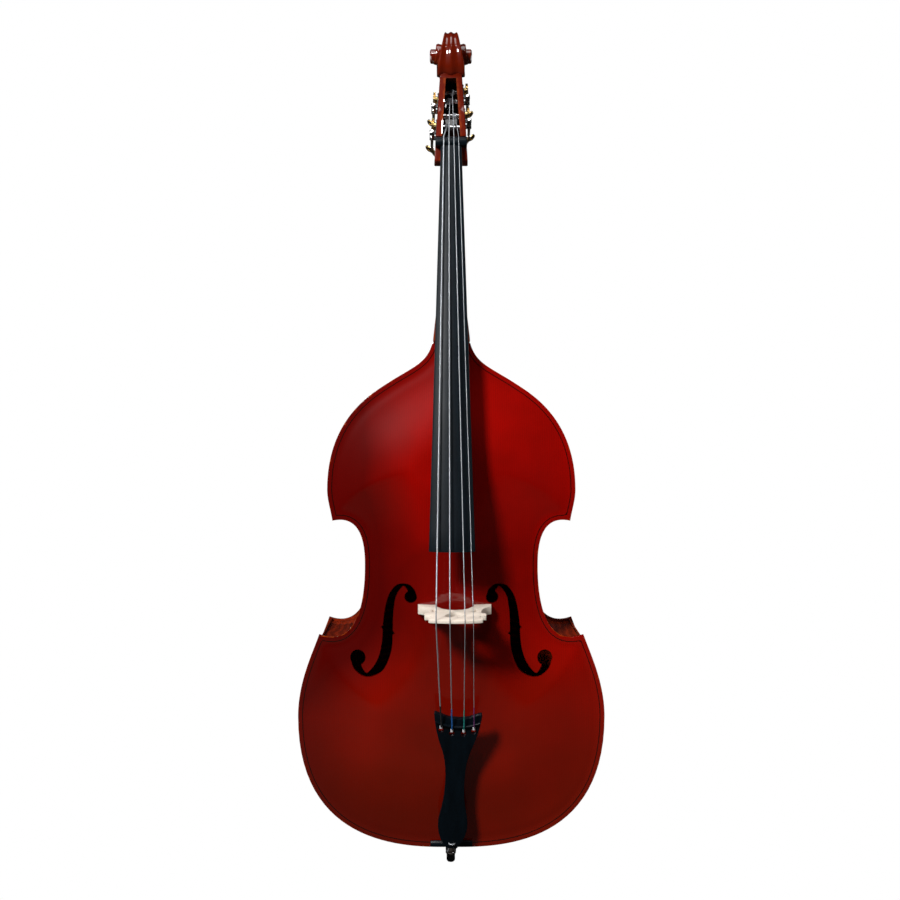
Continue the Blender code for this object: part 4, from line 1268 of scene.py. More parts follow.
@dataclass
class Fingerboard:
    """The long ebony board and the nut at its top.

    Attributes:
        setup: The strings' run.
        grooves: X and radius of each string at the nut.
        nut_half: Half the nut's height.
        nut_rear: Depth of the nut's rear.
        nut_width: The nut's width.
        scooped: Height below which the board's underside is hollowed.
    """

    setup: Setup
    grooves: Sequence[Point]
    nut_half: float = 0.011
    nut_rear: float = -0.0604
    nut_width: float = 0.0708
    scooped: float = 1.17

    def build(self) -> None:
        """Make the board and the nut."""
        setup = self.setup
        top = setup.nut[1] - self.nut_half - 0.0005
        rows = [self._section(setup.board_end + (top - setup.board_end) * i / 20) for i in range(21)]
        board = bevel(loft("ebony_board", rows), 0.0012, 3, 42)
        smooth(board, 30)
        done(board, BOARD_EBONY, "bass", "ebony", "fingerboard")
        high, low = setup.nut[1] + self.nut_half, setup.nut[1] - self.nut_half
        crest = setup.nut_crest
        outline = [(crest + 0.004, low), (crest + 0.0010, low + 0.004), (crest, low + 0.0075),
                   (crest, low + 0.012), (crest + 0.0020, low + 0.0150), (crest + 0.0125, high),
                   (self.nut_rear, high), (self.nut_rear, low)]
        nut = bevel(settle(flat("ebony_nut", outline, self.nut_width), SIDEWAYS), 0.0009, 3, 35)
        for x, radius in self.grooves:
            at = Matrix.Translation((x, crest - radius * 0.9, setup.nut[1]))
            cut(nut, rod("groove", radius * 1.25, 0.05, 20, at))
        smooth(nut, 35)
        done(nut, FITTING_EBONY, "bass", "ebony", "nut")

    def _section(self, z: float) -> list[Point]:
        """One section of the board: crowned in front, its edges square, hollowed a little behind."""
        setup = self.setup
        share = setup.share(z)
        half = setup.board_half[0] + (setup.board_half[1] - setup.board_half[0]) * share
        drop = 0.006 + 0.004 * share
        spread = [1 - i / 12 for i in range(25)]
        front = [(half * part, setup.board_y(z) + drop * part**2, z) for part in spread]
        rear = setup.board_y(z) + setup.board_thick
        hollow = 0.004 if z < self.scooped else 0.0
        behind = [(-half * part, rear - hollow * (1 - part**2), z) for part in spread[::2]]
        return [*front, *behind]


# ---------------------------------------------------------------- tuning machines


@dataclass
class Machine:
    """One worm-gear tuning machine on a cheek of the pegbox.

    Attributes:
        string: The string it tunes.
        side: The cheek it is on.
        height: Height of its roller.
        depth: Depth of its roller.
        pegbox: The pegbox's widths.
        roller: Radius of the roller.
        teeth: Teeth of the gear.
        pitch: The worm's pitch.
        tilt: How far the worm hangs below level, in degrees.
        plate: Thickness of the base plate.
        worm_out: How far the worm is from the cheek.
        worm_radius: Radius at which the worm meets the gear.
        lug_apart: How far each of the plate's lugs is from its middle.
        key_turn: How far round its key happens to stand, in degrees.
        key_thick: Thickness of the key.
        key_along: How far along the worm the key's wings begin.
    """

    string: str
    side: Side
    height: float
    depth: float
    pegbox: Pegbox
    roller: float = 0.0065
    teeth: int = 18
    pitch: float = 0.006
    tilt: float = 15
    plate: float = 0.002
    worm_out: float = 0.0105
    worm_radius: float = 0.0042
    lug_apart: float = 0.012
    key_turn: float = 40
    key_thick: float = 0.0042
    key_along: float = 0.055

    def __post_init__(self) -> None:
        """Find the directions out of the cheek, along the worm and from the gear to the worm."""
        heights, widths = self.pegbox.heights, self.pegbox.outside
        lean = math.atan((widths[0] - widths[1]) / (heights[1] - heights[0]))
        self.out = Vector((self.side.value * math.cos(lean), 0, math.sin(lean)))
        tilt = math.radians(self.tilt)
        worm = Vector((0, math.cos(tilt), -math.sin(tilt)))
        self.worm = (worm - self.out * worm.dot(self.out)).normalized()
        across = self.out.cross(self.worm)
        self.across = across if across.z < 0 else -across
        self.cheek = Vector((self.side.value * self.pegbox.half(self.height), self.depth, self.height))
        self.reach = self.teeth * self.pitch / math.tau + self.worm_radius
        self.centre = self.cheek + self.out * self.worm_out + self.across * self.reach

    def flat(self, out: float = 0.0) -> Matrix:
        """A frame on the cheek: Z leaves it and X runs towards the worm."""
        turn = Matrix((self.across, self.out.cross(self.across), self.out)).transposed().to_4x4()
        return Matrix.Translation(self.cheek + self.out * out) @ turn

    def shaft(self, along: float = 0.0) -> Matrix:
        """A frame on the worm: Z runs along it and X towards the gear."""
        turn = Matrix((-self.across, self.worm.cross(-self.across), self.worm)).transposed().to_4x4()
        return Matrix.Translation(self.centre + self.worm * along) @ turn

    def hole(self) -> bpy.types.Object:
        """The cutter of the roller's bore through both cheeks."""
        far = 2 * self.pegbox.half(self.cheek.z) - 0.006
        return rod("roller_bore", self.roller + GAP, far + 0.0108, 40, self.flat((0.01 - far) / 2 - GAP))

    def build(self) -> None:
        """Build the plate, the worm, the key and the string's turns on the roller."""
        self._plate()
        self._worm()
        self._key()
        self._turns()

    def _plate(self) -> None:
        """The base plate with its two lugs, two screws and a hole for the roller."""
        middle = GAP + self.plate / 2
        outline = self._rounded(-0.012, self.reach + 0.0055, 0.016, 0.005)
        base = bevel(settle(flat("plate_sheet", outline, self.plate), self.flat(middle)), 0.0004, 2, 50)
        rise = self.worm_out + 0.0055 - middle
        for end in (-1, 1):
            lug = self._rounded(self.reach - 0.0052, self.reach + 0.0052, 0.002, 0.0015)
            lug = [(x, y + end * self.lug_apart) for x, y in lug]
            lug = settle(flat("lug", lug, rise), self.flat(middle + rise / 2))
            cut(base, bevel(lug, 0.0005, 2, 50), "UNION")
        cut(base, rod("roller_hole", self.roller + GAP, 0.012, 36, self.flat()))
        cut(base, rod("worm_hole", 0.0034, 0.04, 36, self.shaft()))
        smooth(base, 35)
        done(joined([base, *self._screws()], f"base_plate_{self.string}"), BLACK_STEEL, "bass", "black_steel",
             f"machine_plate_{self.string}")

    def _screws(self) -> list[bpy.types.Object]:
        """Slotted screws at the plate's corners."""
        head = GAP + self.plate
        profile = [(0, 0.0012), (0.0010, 0.00115), (0.0018, 0.0008), (0.0023, 0), (0.0023, -0.0006),
                   (0, -0.0006)]
        screw = spun("plate_screw", profile, 24)
        slot = [(-0.004, -0.0003), (0.004, -0.0003), (0.004, 0.0003), (-0.004, 0.0003)]
        cut(screw, settle(flat("slot", slot, 0.0012), Matrix.Translation((0, 0, 0.0012))))
        smooth(screw, 35)
        spots = [(-0.0085, y) for y in (-0.0125, 0.0125)]
        made = [copied(screw, f"screw_{i}", self.flat(head) @ Matrix.Translation((x, y, 0))
                       @ Matrix.Rotation(0.7 + i * 1.9, 4, "Z")) for i, (x, y) in enumerate(spots)]
        bpy.data.objects.remove(screw)
        return made

    @staticmethod
    def _rounded(x0: float, x1: float, half: float, radius: float) -> list[Point]:
        """A rectangle with round corners."""
        corners = ((x1, half, 0), (x0, half, 90), (x0, -half, 180), (x1, -half, 270))
        points = []
        for x, y, start in corners:
            centre = Vector((x - math.copysign(radius, x - (x0 + x1) / 2), y - math.copysign(radius, y)))
            for turn in range(0, 91, 15):
                angle = math.radians(start + turn)
                points.append(centre + Vector((math.cos(angle), math.sin(angle))) * radius)
        return points

    def _worm(self) -> None:
        """The threaded worm, its journals, its collars and the stem of the key."""
        rows = [(-0.0172, 0.0022), (-0.0170, 0.0040), (-0.0166, 0.0045), (-0.0148, 0.0045), (-0.0146, 0.0042),
                (-0.0146, 0.0030), (-0.0090, 0.0030), (-0.0078, 0.0027)]
        rows += [(0.0075 * (i / 30 - 1), None) for i in range(61)]
        rows += [(0.0078, 0.0027), (0.0090, 0.0030), (0.0146, 0.0030), (0.0146, 0.0042), (0.0150, 0.0045),
                 (0.0176, 0.0045), (0.0180, 0.0042), (0.0186, 0.0036), (0.0300, 0.0032), (0.0480, 0.0030),
                 (0.0490, 0.0036), (0.0500, 0.0044), (0.0544, 0.0046)]
        rings = []
        turns = [math.tau * i / 40 for i in range(40)]
        for along, radius in rows:
            sizes = [radius or self._thread(angle, along) for angle in turns]
            rings.append([self.shaft() @ Vector((r * math.cos(a), r * math.sin(a), along))
                          for r, a in zip(sizes, turns)])
        worm = smooth(loft(f"worm_{self.string}_steel", rings), 40)
        done(worm, CHROME, f"worm_{self.string}", "chrome", f"worm_shaft_{self.string}")

    def _thread(self, angle: float, along: float) -> float:
        """Radius of the worm's one-start thread."""
        turns = along / self.pitch - angle / math.tau
        away = abs(turns - round(turns))
        return 0.0027 + 0.0028 * min(max((0.30 - away) / 0.14, 0), 1)

    def _key(self) -> None:
        """The butterfly key, thick at its hub and thinned at its wings."""
        wing = through([(0.0045, 0.0), (0.0060, 0.0040), (0.0120, 0.0056), (0.0174, 0.0085), (0.0190, 0.0140),
                        (0.0170, 0.0205), (0.0105, 0.0238), (0.0040, 0.0205), (0.0, 0.0185)], 4)
        outline = [*wing, *[(-x, y) for x, y in reversed(wing[:-1])]]
        turn = math.pi / 2 - self.side.value * math.radians(self.key_turn)
        frame = self.shaft(self.key_along) @ Matrix.Rotation(turn, 4, "Z") @ FACING
        key = bevel(flat("key_wings", outline, self.key_thick), 0.0016, 4, 60)
        for side in Side:
            for face in (-1, 1):
                at = Matrix.Translation((side.value * 0.0112, 0.0138, face * 0.0024))
                cut(key, rod("dish", 0.0052, 0.0016, 36, at))
        key = settle(smooth(key, 50), frame)
        wear_edges(key)
        key.name = f"wing_key_{self.string}"
        done(key, BRASS, f"worm_{self.string}", "brass", f"key_{self.string}")

    def _turns(self) -> None:
        """The string's last turns round the roller."""
        run = STRINGS[self.string]
        middle = self.flat()
        start = self.side.value * run.nut * ROLLER_SPREAD - self.pegbox.half(self.cheek.z)
        wind = self.roller + run.radius - 0.0010
        path = []
        for turn in (i / 24 for i in range(4 * 24 + 1)):
            angle = math.tau * turn
            along = start + (turn - 2) * run.radius * 2.15
            path.append(middle @ Vector((wind * math.cos(angle), wind * math.sin(angle), along)))
        turns = pipe(f"turns_{self.string}", path, run.radius, 10)
        done(turns, STRING_STEEL, f"roller_{self.string}", "string_steel")


# ---------------------------------------------------------------- bridge, tailpiece and strings


@dataclass(frozen=True)
class StringRun:
    """One string's size and place.

    Attributes:
        radius: Its radius.
        nut: X where it crosses the nut.
        bridge: X where it crosses the bridge.
        tail: X where it enters the tailpiece.
        silk: Linear colour of the thread wound on its tail end.
    """

    radius: float
    nut: float
    bridge: float
    tail: float
    silk: Point


STRINGS = {
    "e": StringRun(0.0014, -0.0165, -0.0330, -0.0350, (0.006, 0.005, 0.006)),
    "a": StringRun(0.00115, -0.0050, -0.0050, -0.0120, (0.012, 0.150, 0.520)),
    "d": StringRun(0.0009, 0.0060, 0.0255, 0.0130, (0.012, 0.340, 0.300)),
    "g": StringRun(0.0007, 0.0165, 0.0425, 0.0340, (0.200, 0.045, 0.190)),
}


@dataclass
class Bridge:
    """The bridge of bare maple: stepped sides, a heart, two kidneys and spread feet.

    Attributes:
        setup: The strings' run.
        corpus: The body it stands on.
        foot: Half thickness at the feet.
        thin: How much thinner its crown is.
        crown: Half width of its crowned edge.
        arch: How far below the crown the arch between its legs starts.
    """

    setup: Setup
    corpus: Corpus
    foot: float = 0.0105
    thin: float = 0.0075
    crown: float = 0.0540
    arch: float = 0.1080

    def build(self) -> None:
        """Cut the bridge out."""
        y, z = self.setup.bridge
        middle = self.setup.bridge_x
        across = [middle + self.crown * i / 10 for i in range(-10, 11)]
        crown = [(x, self.setup.crest(x)) for x in across]
        outline = [*crown, *self._half(1), (middle, y + self.arch), *reversed(self._half(-1))]
        bridge = settle(flat("maple_bridge", outline, 1.0), Matrix.Translation((0, 0, z)))
        front = self.corpus.front
        for vert in bridge.data.vertices:
            height = max((front - vert.co.y) / (front - y), 0)
            half = math.copysign(self.foot - self.thin * height, vert.co.z - z)
            vert.co.z = z + half + self.setup.lean * height
        for tool in self._openings(y, z):
            cut(bridge, tool)
        bevel(outward(bridge), 0.0007, 2, 35)
        smooth(bridge, 32)
        done(bridge, BRIDGE_WOOD, "bass", "bridge_maple", "bridge")

    def _half(self, way: int) -> list[Point]:
        """One side from the crown round the foot to the arch between the legs; way is 1 to +X, -1 to -X."""
        side = [(0.0553, 0.0165), (0.0556, 0.026), (0.0545, 0.0315), (0.0500, 0.0355), (0.0490, 0.0400),
                (0.0500, 0.0500), (0.0535, 0.0530), (0.0625, 0.0545), (0.0640, 0.0580), (0.0640, 0.0710),
                (0.0615, 0.0750), (0.0560, 0.0790), (0.0545, 0.0880), (0.0570, 0.1080), (0.0615, 0.1225),
                (0.0665, 0.1330), (0.0735, 0.1420), (0.0790, 0.1470)]
        leg = [(0.0412, 0.1515), (0.0385, 0.1440), (0.0330, 0.1330), (0.0270, 0.1215), (0.0150, 0.1115)]
        crown, middle = self.setup.bridge[0], self.setup.bridge_x
        feet = [middle + way * x for x in (0.0802, 0.074, 0.066, 0.058, 0.050, 0.0415)]
        outer, inner = ([(middle + way * x, crown + y) for x, y in through(run, 3)] for run in (side, leg))
        return [*outer, *[(x, self._under(x)) for x in feet], *inner]

    def _under(self, x: float) -> float:
        """The belly's depth under a foot, with the space left for it."""
        z = self.setup.bridge[1]
        return min(self.corpus.belly(x, z + step) for step in (-0.012, 0.0, 0.012)) - GAP

    def _openings(self, y: float, z: float) -> list[bpy.types.Object]:
        """The cutters of the heart and of the kidneys."""
        left = [(0.0, 0.0500), (0.0090, 0.0385), (0.0190, 0.0420), (0.0215, 0.0540), (0.0150, 0.0680)]
        heart = [*left, (0.0, 0.0830), *[(-x, down) for x, down in reversed(left[1:])]]
        heart = through([(x, y + down) for x, down in heart], 5, True)
        kidney = ((0.0335, 0.0960), (0.0400, 0.0895), (0.0480, 0.0940), (0.0490, 0.1040), (0.0440, 0.1100),
                  (0.0410, 0.1040))
        kidney = through([(x, y + down) for x, down in kidney], 5, True)
        tools = [flat("heart", heart, 0.06)]
        tools += [flat("kidney", [(x * side.value, depth) for x, depth in kidney], 0.06) for side in Side]
        return [settle(tool, Matrix.Translation((self.setup.bridge_x, 0, z))) for tool in tools]


@dataclass
class Tailpiece:
    """The ebony tailpiece with its fret and keyholes, the cable that ties it and the saddle under that.

    Attributes:
        top: Its upper end.
        end: Its lower end.
        thick: Its thickness.
        front: Depth of the top plate's edge.
        bottom: Height of the body's lower end.
        fret_half: Half the length of its fret.
        cable_x: How far off its middle each of the cable's holes is.
        cable_up: How far up from its lower end those holes are.
    """

    front: float
    bottom: float
    top: Point = (0.0135, -0.204, 0.399)
    end: Point = (0.0, -0.139, 0.089)
    thick: float = 0.011
    fret_half: float = 0.0465
    cable_x: float = 0.006
    cable_up: float = 0.012

    def __post_init__(self) -> None:
        """Find its length and its frame: Y up it, Z out of its face."""
        top, end = Vector(self.top), Vector(self.end)
        self.length = (top - end).length
        up = (top - end).normalized()
        face = AXES["X"].cross(up).normalized()
        turn = Matrix((up.cross(face), up, face)).transposed()
        self.frame = Matrix.Translation(top) @ turn.to_4x4()

    def spot(self, x: float, down: float, out: float = 0.0) -> Vector:
        """A point x across, so far down from the upper end and so far out of the face."""
        return self.frame @ Vector((x, -down, out))

    def keyhole(self, x: float) -> float:
        """How far down the hole of a string at x is."""
        return 0.036 + 0.010 * (1 - abs(x) / 0.034)

    def fret(self, x: float) -> float:
        """How far down the fret's crest is at x."""
        return 0.0175 + 0.011 * (1 - (x / self.fret_half) ** 2)

    def build(self) -> None:
        """Make the tailpiece, its fret, its cable and the saddle."""
        half = [(0.0, -0.0110), (0.0200, -0.0090), (0.0360, -0.0035), (0.0470, 0.0008), (0.0495, 0.0004),
                (0.0504, -0.0030), (0.0490, -0.0140), (0.0455, -0.0350), (0.0380, -0.0630), (0.0285, -0.0910),
                (0.0228, -0.1180), (0.0206, -0.1550), (0.0220, -0.1950), (0.0268, -0.2260), (0.0312, -0.2500),
                (0.0310, -0.2720), (0.0245, -0.2950), (0.0115, -self.length)]
        right = through(half, 3)
        outline = [*right, *[(-x, y) for x, y in reversed(right[1:])]]
        piece = bevel(flat("tail_wood", outline, self.thick), 0.0032, 4, 60)
        settle(piece, self.frame @ Matrix.Translation((0, 0, -self.thick / 2)))
        for run in STRINGS.values():
            down = self.keyhole(run.tail)
            cut(piece, self._bore(0.0060, run.tail, down + 0.003))
            half_slot = run.radius * 1.4
            slot = [(-half_slot, 0.0), (half_slot, 0.0), (half_slot, 0.0095), (-half_slot, 0.0095)]
            at = self.frame @ Matrix.Translation((run.tail, -down, -0.001))
            cut(piece, settle(flat("key_slot", slot, 0.007), at))
        for side in Side:
            cut(piece, self._bore(0.0026, side.value * self.cable_x, self.length - self.cable_up))
        smooth(piece, 35)
        done(piece, FITTING_EBONY, "bass", "ebony", "tailpiece")
        self._fret_bar()
        self._cable()
        self._saddle()

    def _bore(self, radius: float, x: float, down: float) -> bpy.types.Object:
        """A round cutter through the tailpiece."""
        return rod("tail_hole", radius, 0.04, 28, self.frame @ Matrix.Translation((x, -down, 0)))

    def _fret_bar(self) -> None:
        """The raised bar that the strings bend over, a round-topped strip along a curve."""
        profile = ((-0.0030, 0.0), (-0.0029, 0.0024), (-0.0018, 0.0044), (0, 0.0051), (0.0018, 0.0044),
                   (0.0029, 0.0024), (0.0030, 0.0))
        across = [self.fret_half * (1 - i / 12) for i in range(25)]
        rings = [[self.spot(x, self.fret(x) + down, out + GAP) for down, out in profile] for x in across]
        bar = smooth(loft("tail_fret", rings), 50)
        done(bar, FITTING_EBONY, "bass", "ebony", "tailpiece_fret")

    def _cable(self) -> None:
        """The steel cable: up one hole, down the other and round the endpin plug."""
        low, edge = self.bottom - 0.0100, self.front
        under = ((0.0100, 0.0112, low), (0.0130, -0.010, low), (0.0100, edge + 0.030, low),
                 (0.0085, edge - 0.0020, low + 0.001), (0.0068, edge - 0.0105, self.bottom - 0.003),
                 (self.cable_x, edge - 0.0122, self.bottom + 0.005),
                 (self.cable_x, edge - 0.0135, self.bottom + 0.014))
        inside = ((self.cable_x, -self.thick - 0.004), (self.cable_x, -0.001), (0.0045, 0.0028))
        knots = []
        for side in Side:
            half = [Vector((side.value * x, y, z)) for x, y, z in under]
            half += [self.spot(side.value * x, self.length - self.cable_up, out) for x, out in inside]
            knots.append(half)
        path = through([*knots[0], *reversed(knots[1])], 6, True)
        done(pipe("cable", path, 0.0016, 12, True), STRING_STEEL, "bass", "string_steel", "tail_cable")

    def _saddle(self) -> None:
        """The ebony saddle that takes the cable over the body's edge."""
        low, high = self.bottom + 0.004, self.bottom + 0.0165
        rear, front = self.front - 0.0018, self.front - 0.0092
        outline = [(rear, low), (front + 0.003, low), (front + 0.0008, low + 0.0015), (front, low + 0.005),
                   (front + 0.0012, low + 0.009), (front + 0.004, high), (rear, high)]
        piece = bevel(settle(flat("ebony_saddle", outline, 0.092), SIDEWAYS), 0.0010, 3, 40)
        done(smooth(piece, 35), FITTING_EBONY, "bass", "ebony", "saddle")


@dataclass
class Strings:
    """The four strings with the silk and the ball at their tail ends.

    Attributes:
        setup: The strings' run.
        tailpiece: What they are tied to.
        machines: What they are wound on.
        silk: How far the silk runs up from the tailpiece's fret.
        fret_high: How far the fret's crest stands out of the tailpiece's face.
        tied: How far above its keyhole's middle a ball rests.
    """

    setup: Setup
    tailpiece: Tailpiece
    machines: "Sequence[Machine]"
    silk: float = 0.047
    fret_high: float = 0.0055
    tied: float = 0.0062

    def build(self) -> None:
        """Stretch every string, wind its silk and tie its ball."""
        for machine in self.machines:
            name, run = machine.string, STRINGS[machine.string]
            setup = self.setup
            crown = setup.crest(run.bridge) - run.radius - GAP
            rest = Vector((run.bridge, crown, setup.bridge[1] + setup.lean))
            over = self.fret_high + run.radius + GAP
            bend = self.tailpiece.spot(run.tail, self.tailpiece.fret(run.tail), over)
            self._wire(machine, run, rest, bend)
            self._silk(name, run, bend.lerp(rest, self.silk / (rest - bend).length), bend, over)
            self._ball(name, run)

    def _wire(self, machine: "Machine", run: StringRun, rest: Vector, bend: Vector) -> None:
        """The wound string from its roller over the nut and the bridge to the tailpiece's fret."""
        lift = self.setup.nut_crest - run.radius - GAP
        nut = Vector((run.nut, lift, self.setup.nut[1]))
        roller_y = machine.depth - machine.roller - run.radius - GAP
        above = [Vector((run.nut * ROLLER_SPREAD, roller_y, machine.height)),
                 nut + Vector((0, 0.0030, 0.0085)), nut + Vector((0, 0.0006, 0.003)), nut]
        play = [nut.lerp(rest, i / 24) for i in range(1, 25)]
        below = [rest.lerp(bend, i / 12) for i in range(1, 12)]
        wire = pipe(f"wire_{machine.string}", [*above, *play, *below], run.radius, 10)
        done(wire, STRING_STEEL, "bass", "string_steel", f"string_{machine.string}")

    def _silk(self, name: str, run: StringRun, top: Vector, bend: Vector, over: float) -> None:
        """The coloured thread, from its top over the fret's bend into the keyhole."""
        crest, hole = self.tailpiece.fret(run.tail), self.tailpiece.keyhole(run.tail)
        ends = ((crest + 0.0035, over - 0.0010), (hole - 0.0075, run.radius + 0.0006),
                (hole - self.tied, run.radius - GAP))
        path = [top, top.lerp(bend, 0.5), self.tailpiece.spot(run.tail, crest - 0.004, over - 0.0003), bend,
                *[self.tailpiece.spot(run.tail, down, out) for down, out in ends]]
        # The darker colour, a third of the silk's, is painted shade between the thread's turns.
        thread = Wound(f"silk_{name}", run.silk, tuple(c * 0.3 for c in run.silk), 900, 0.0, 0.62)
        done(pipe(f"silk_{name}", path, run.radius + 0.00035, 10), thread, "bass", "string_steel")

    def _ball(self, name: str, run: StringRun) -> None:
        """The bright ball that holds the string in its keyhole."""
        tail = self.tailpiece
        end = [(0, 0.0036), (0.0022, 0.0036), (0.0029, 0.0029)]
        bead = spun(f"ball_{name}", [*end, *[(r, -z) for r, z in reversed(end)]], 28)
        at = Matrix.Translation(tail.spot(run.tail, tail.keyhole(run.tail) - self.tied, 0.0018))
        settle(bead, at @ tail.frame.to_3x3().to_4x4() @ FACING)
        done(smooth(bead, 35), BALL_NICKEL, "bass", "string_steel")


# ---------------------------------------------------------------- endpin


@dataclass
class Endpin:
    """The turned plug with its collar, and the pin's rod, screw and rubber foot.

    Attributes:
        frame: The loaded frame.
        bore: Radius of the hole that the rod slides in.
        screw_z: Height of the clamp screw.
    """

    frame: dict
    bore: float = 0.0054
    screw_z: float = 0.044

    def build(self) -> None:
        """Turn the endpin's pieces."""
        bore = self.bore
        plug = [(bore, 0.1398), (0.0150, 0.1400), (0.0155, 0.1395), (0.0160, 0.0870), (0.0160, 0.0812),
                (0.0196, 0.0812), (0.0208, 0.0803), (0.0210, 0.0780), (0.0205, 0.0750), (0.0188, 0.0724),
                (0.0150, 0.0712), (0.0088, 0.0704), (0.0085, 0.0690), (0.0085, 0.0640), (0.0089, 0.0622),
                (0.0108, 0.0612), (0.0111, 0.0602), (0.0110, 0.0590), (bore, 0.0590)]
        collar = [(bore, 0.0586), (0.0110, 0.0586), (0.0119, 0.0578), (0.0119, 0.0548), (0.0115, 0.0543),
                  (0.0115, 0.0536), (0.0119, 0.0531), (0.0119, 0.0262), (0.0115, 0.0250), (0.0108, 0.0240),
                  (0.0115, 0.0230), (0.0119, 0.0218), (0.0119, 0.0192), (0.0115, 0.0184), (0.0106, 0.0180),
                  (bore, 0.0180)]
        tip = [(0.0, 0.0062), (0.0054, 0.0062), (0.0054, 0.0174), (0.0078, 0.0175), (0.0086, 0.0171),
               (0.0097, 0.0150), (0.0098, 0.0130), (0.0093, 0.0125), (0.0093, 0.0115), (0.0098, 0.0110),
               (0.0098, 0.0050), (0.0094, 0.0022), (0.0078, 0.0002), (0.0050, 0.0), (0.0, 0.0002)]
        self._turned("plug_wood", plug, True, FITTING_EBONY, "bass", "ebony", "endpin_plug")
        sleeve = self._ring("collar_sleeve", collar)
        at = Matrix.Translation((0.010, 0, self.screw_z)) @ Matrix.Rotation(math.pi / 2, 4, "Y")
        cut(sleeve, rod("screw_hole", 0.0031, 0.012, 32, at))
        done(smooth(sleeve, 35), CHROME, "bass", "chrome", "endpin_collar")
        self._turned("foot_tip", tip, False, FOOT_RUBBER, "endpin", "rubber", "endpin_tip")
        self._screw()
        refinish(self.frame, STEEL, "endpin_rod")

    def _ring(self, name: str, profile: Sequence[Point]) -> bpy.types.Object:
        """A turned ring whose profile closes on itself."""
        turns = [math.tau * i / 64 for i in range(64)]
        return loft(name, [[(r * math.cos(a), r * math.sin(a), z) for r, z in profile] for a in turns], False)

    def _turned(self, name: str, profile: Sequence[Point], ring: bool, finish: Finish, body: str, slot: str,
                node: str) -> None:
        """Turn one piece and dress it."""
        piece = self._ring(name, profile) if ring else spun(name, profile, 56)
        done(smooth(piece, 38), finish, body, slot, node)

    def _screw(self) -> None:
        """The knurled screw that clamps the rod."""
        profile = [(0, 0.0240), (0.0055, 0.0240), (0.0064, 0.0237), (0.0066, 0.0230), (0.0066, 0.0178),
                   (0.0060, 0.0168), (0.0040, 0.0165), (0.0040, 0.0128), (0.0026, 0.0125), (0.0026, 0.0058),
                   (0, 0.0058)]
        screw = spun("screw_steel", profile, 48)
        ridge = flat("ridge", [(-0.0007, 0), (0, 0.0011), (0.0007, 0)], 0.0054)
        settle(ridge, Matrix.Translation((0, 0.0064, 0.0204)))
        ridges = [copied(ridge, f"ridge_{i}", Matrix.Rotation(math.tau * i / 20, 4, "Z")) for i in range(20)]
        bpy.data.objects.remove(ridge)
        screw = joined([screw, *ridges], "clamp_screw")
        settle(screw, frame_at((0, 0, self.screw_z), AXES["X"], AXES["Y"]))
        done(smooth(screw, 35), CHROME, "thumb_screw", "chrome", "thumb_screw")


# ---------------------------------------------------------------- studio


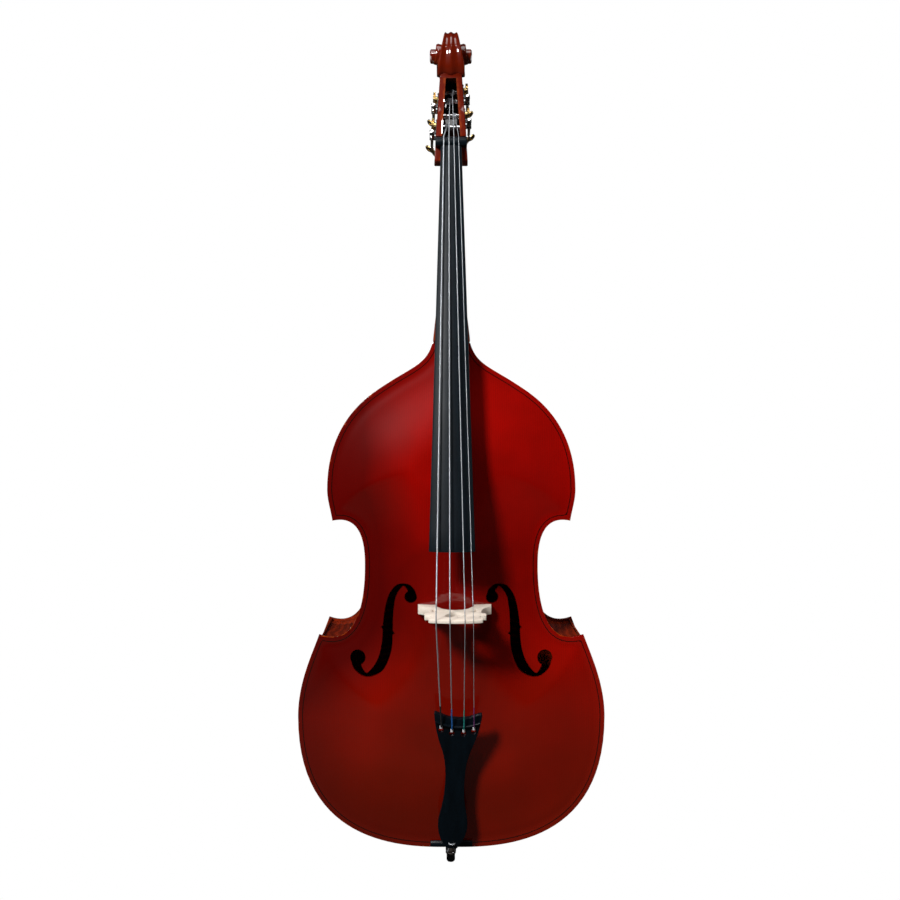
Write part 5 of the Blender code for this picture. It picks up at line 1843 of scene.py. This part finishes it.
@dataclass
class Studio:
    """A plain pale floor, soft lights and a camera square to the top plate.

    Attributes:
        distance: From the lens to the edge plane of the top plate.
        eye: The camera's X and Z.
        lens: Focal length in millimetres on a 36 mm sensor.
        shift: The lens shift that frames the whole instrument.
        lamps: Each light's name, place, target, size and power.
    """

    distance: float = 2.12
    eye: Point = (-0.0249, 1.006)
    lens: float = 38.48
    shift: Point = (0.0111, -0.0278)
    lamps: tuple = (
        ("key", (-1.35, -2.5, 2.55), (0.02, 0, 0.95), 0.5, 128),
        ("window", (-0.05, -1.88, 3.24), (0, 0, 1.74), 0.11, 6),
        ("overhead", (0, -0.9, 3.7), (0, 0, 1.2), 1.5, 30),
        ("fill", (2.6, -1.9, 1.3), (0.0, 0, 0.8), 1.2, 9),
        ("rim_left", (-2.6, 0.9, 1.8), (0, 0, 1.0), 1.2, 30),
        ("rim_right", (2.4, 1.4, 2.0), (0, 0, 1.0), 1.2, 26),
    )

    def build(self, front: float) -> None:
        """Set up the studio.

        Args:
            front: Depth of the top plate's edge.
        """
        data = bpy.data.cameras.new("camera")
        data.lens = self.lens
        data.sensor_width = 36
        data.shift_x, data.shift_y = self.shift
        data.clip_end = 60
        camera = placed("camera", data)
        camera.location = (self.eye[0], front - self.distance, self.eye[1])
        camera.rotation_euler = (math.pi / 2, 0, 0)
        bpy.context.scene.camera = camera
        self._floor()
        self._world()
        for lamp in self.lamps:
            self._light(*lamp)
        bpy.context.scene.view_settings.view_transform = "Standard"

    @staticmethod
    def _light(name: str, place: Point, target: Point, size: float, power: float) -> None:
        """One square soft light aimed at a target."""
        data = bpy.data.lights.new(name, "AREA")
        data.size = size
        data.energy = power
        light = placed(name, data)
        light.location = place
        light.rotation_euler = (Vector(target) - Vector(place)).to_track_quat("-Z", "Y").to_euler()

    @staticmethod
    def _world() -> None:
        """White where the camera looks past the floor, dim everywhere else."""
        world = bpy.data.worlds.new("studio")
        bpy.context.scene.world = world
        world.use_nodes = True
        tree = world.node_tree
        tree.nodes.clear()
        path = tree.nodes.new("ShaderNodeLightPath")
        dim, bright = (tree.nodes.new("ShaderNodeBackground") for _ in range(2))
        dim.inputs["Color"].default_value = (0.62, 0.66, 0.72, 1)
        dim.inputs["Strength"].default_value = 0.010
        bright.inputs["Color"].default_value = (1, 1, 1, 1)
        bright.inputs["Strength"].default_value = 1.0
        mix = tree.nodes.new("ShaderNodeMixShader")
        out = tree.nodes.new("ShaderNodeOutputWorld")
        tree.links.new(path.outputs["Is Camera Ray"], mix.inputs[0])
        tree.links.new(dim.outputs[0], mix.inputs[1])
        tree.links.new(bright.outputs[0], mix.inputs[2])
        tree.links.new(mix.outputs[0], out.inputs[0])

    @staticmethod
    def _floor() -> None:
        """A pale matt floor just under the endpin."""
        pick_none()
        bpy.ops.mesh.primitive_plane_add(size=16, location=(0, 2, -0.0005))
        floor = named("floor")
        floor = settle(floor)
        paint = Paint("pale_floor")
        speck = paint.noise(paint.place(), 30, 3)
        paint.feed(Base_Color=paint.blend(speck, (0.022, 0.014, 0.008), (0.028, 0.018, 0.010)), Roughness=0.9)
        white = paint.node("Emission", Color=(1.0, 1.0, 1.0, 1.0), Strength=1.0)
        seen = paint.node("LightPath", out="Is Camera Ray")
        mix = paint.node("MixShader", Fac=seen)
        paint.tree.links.new(paint.shader.outputs[0], mix.socket.node.inputs[1])
        paint.tree.links.new(white.socket, mix.socket.node.inputs[2])
        paint.tree.links.new(mix.socket, paint.tree.nodes["Material Output"].inputs[0])
        floor.data.materials.append(paint.material)


def main() -> None:
    """Build the instrument round its frame."""
    logging.basicConfig(level=logging.INFO, format="%(message)s")
    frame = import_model()
    pick_none()
    corpus = Corpus(frame)
    corpus.build()
    setup, cheeks = Setup(), Pegbox()
    seats = (("e", Side.LEFT, 1.686, -0.026), ("a", Side.LEFT, 1.752, -0.008),
             ("d", Side.RIGHT, 1.774, -0.002), ("g", Side.RIGHT, 1.715, -0.016))
    machines = [Machine(*seat, cheeks) for seat in seats]
    low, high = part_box("neck")
    Neck(setup, NECK_BOX, machines).build(low[2], high[1])
    Fingerboard(setup, [(run.nut, run.radius) for run in STRINGS.values()]).build()
    for machine in machines:
        machine.build()
        refinish(frame, BRASS, f"gear_{machine.string}")
        refinish(frame, CHROME, f"roller_{machine.string}")
    Bridge(setup, corpus).build()
    tailpiece = Tailpiece(corpus.front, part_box("top_plate")[0][2])
    tailpiece.build()
    Strings(setup, tailpiece, machines).build()
    Endpin(frame).build()
    Studio().build(corpus.front)


if __name__ == "__main__":
    main()
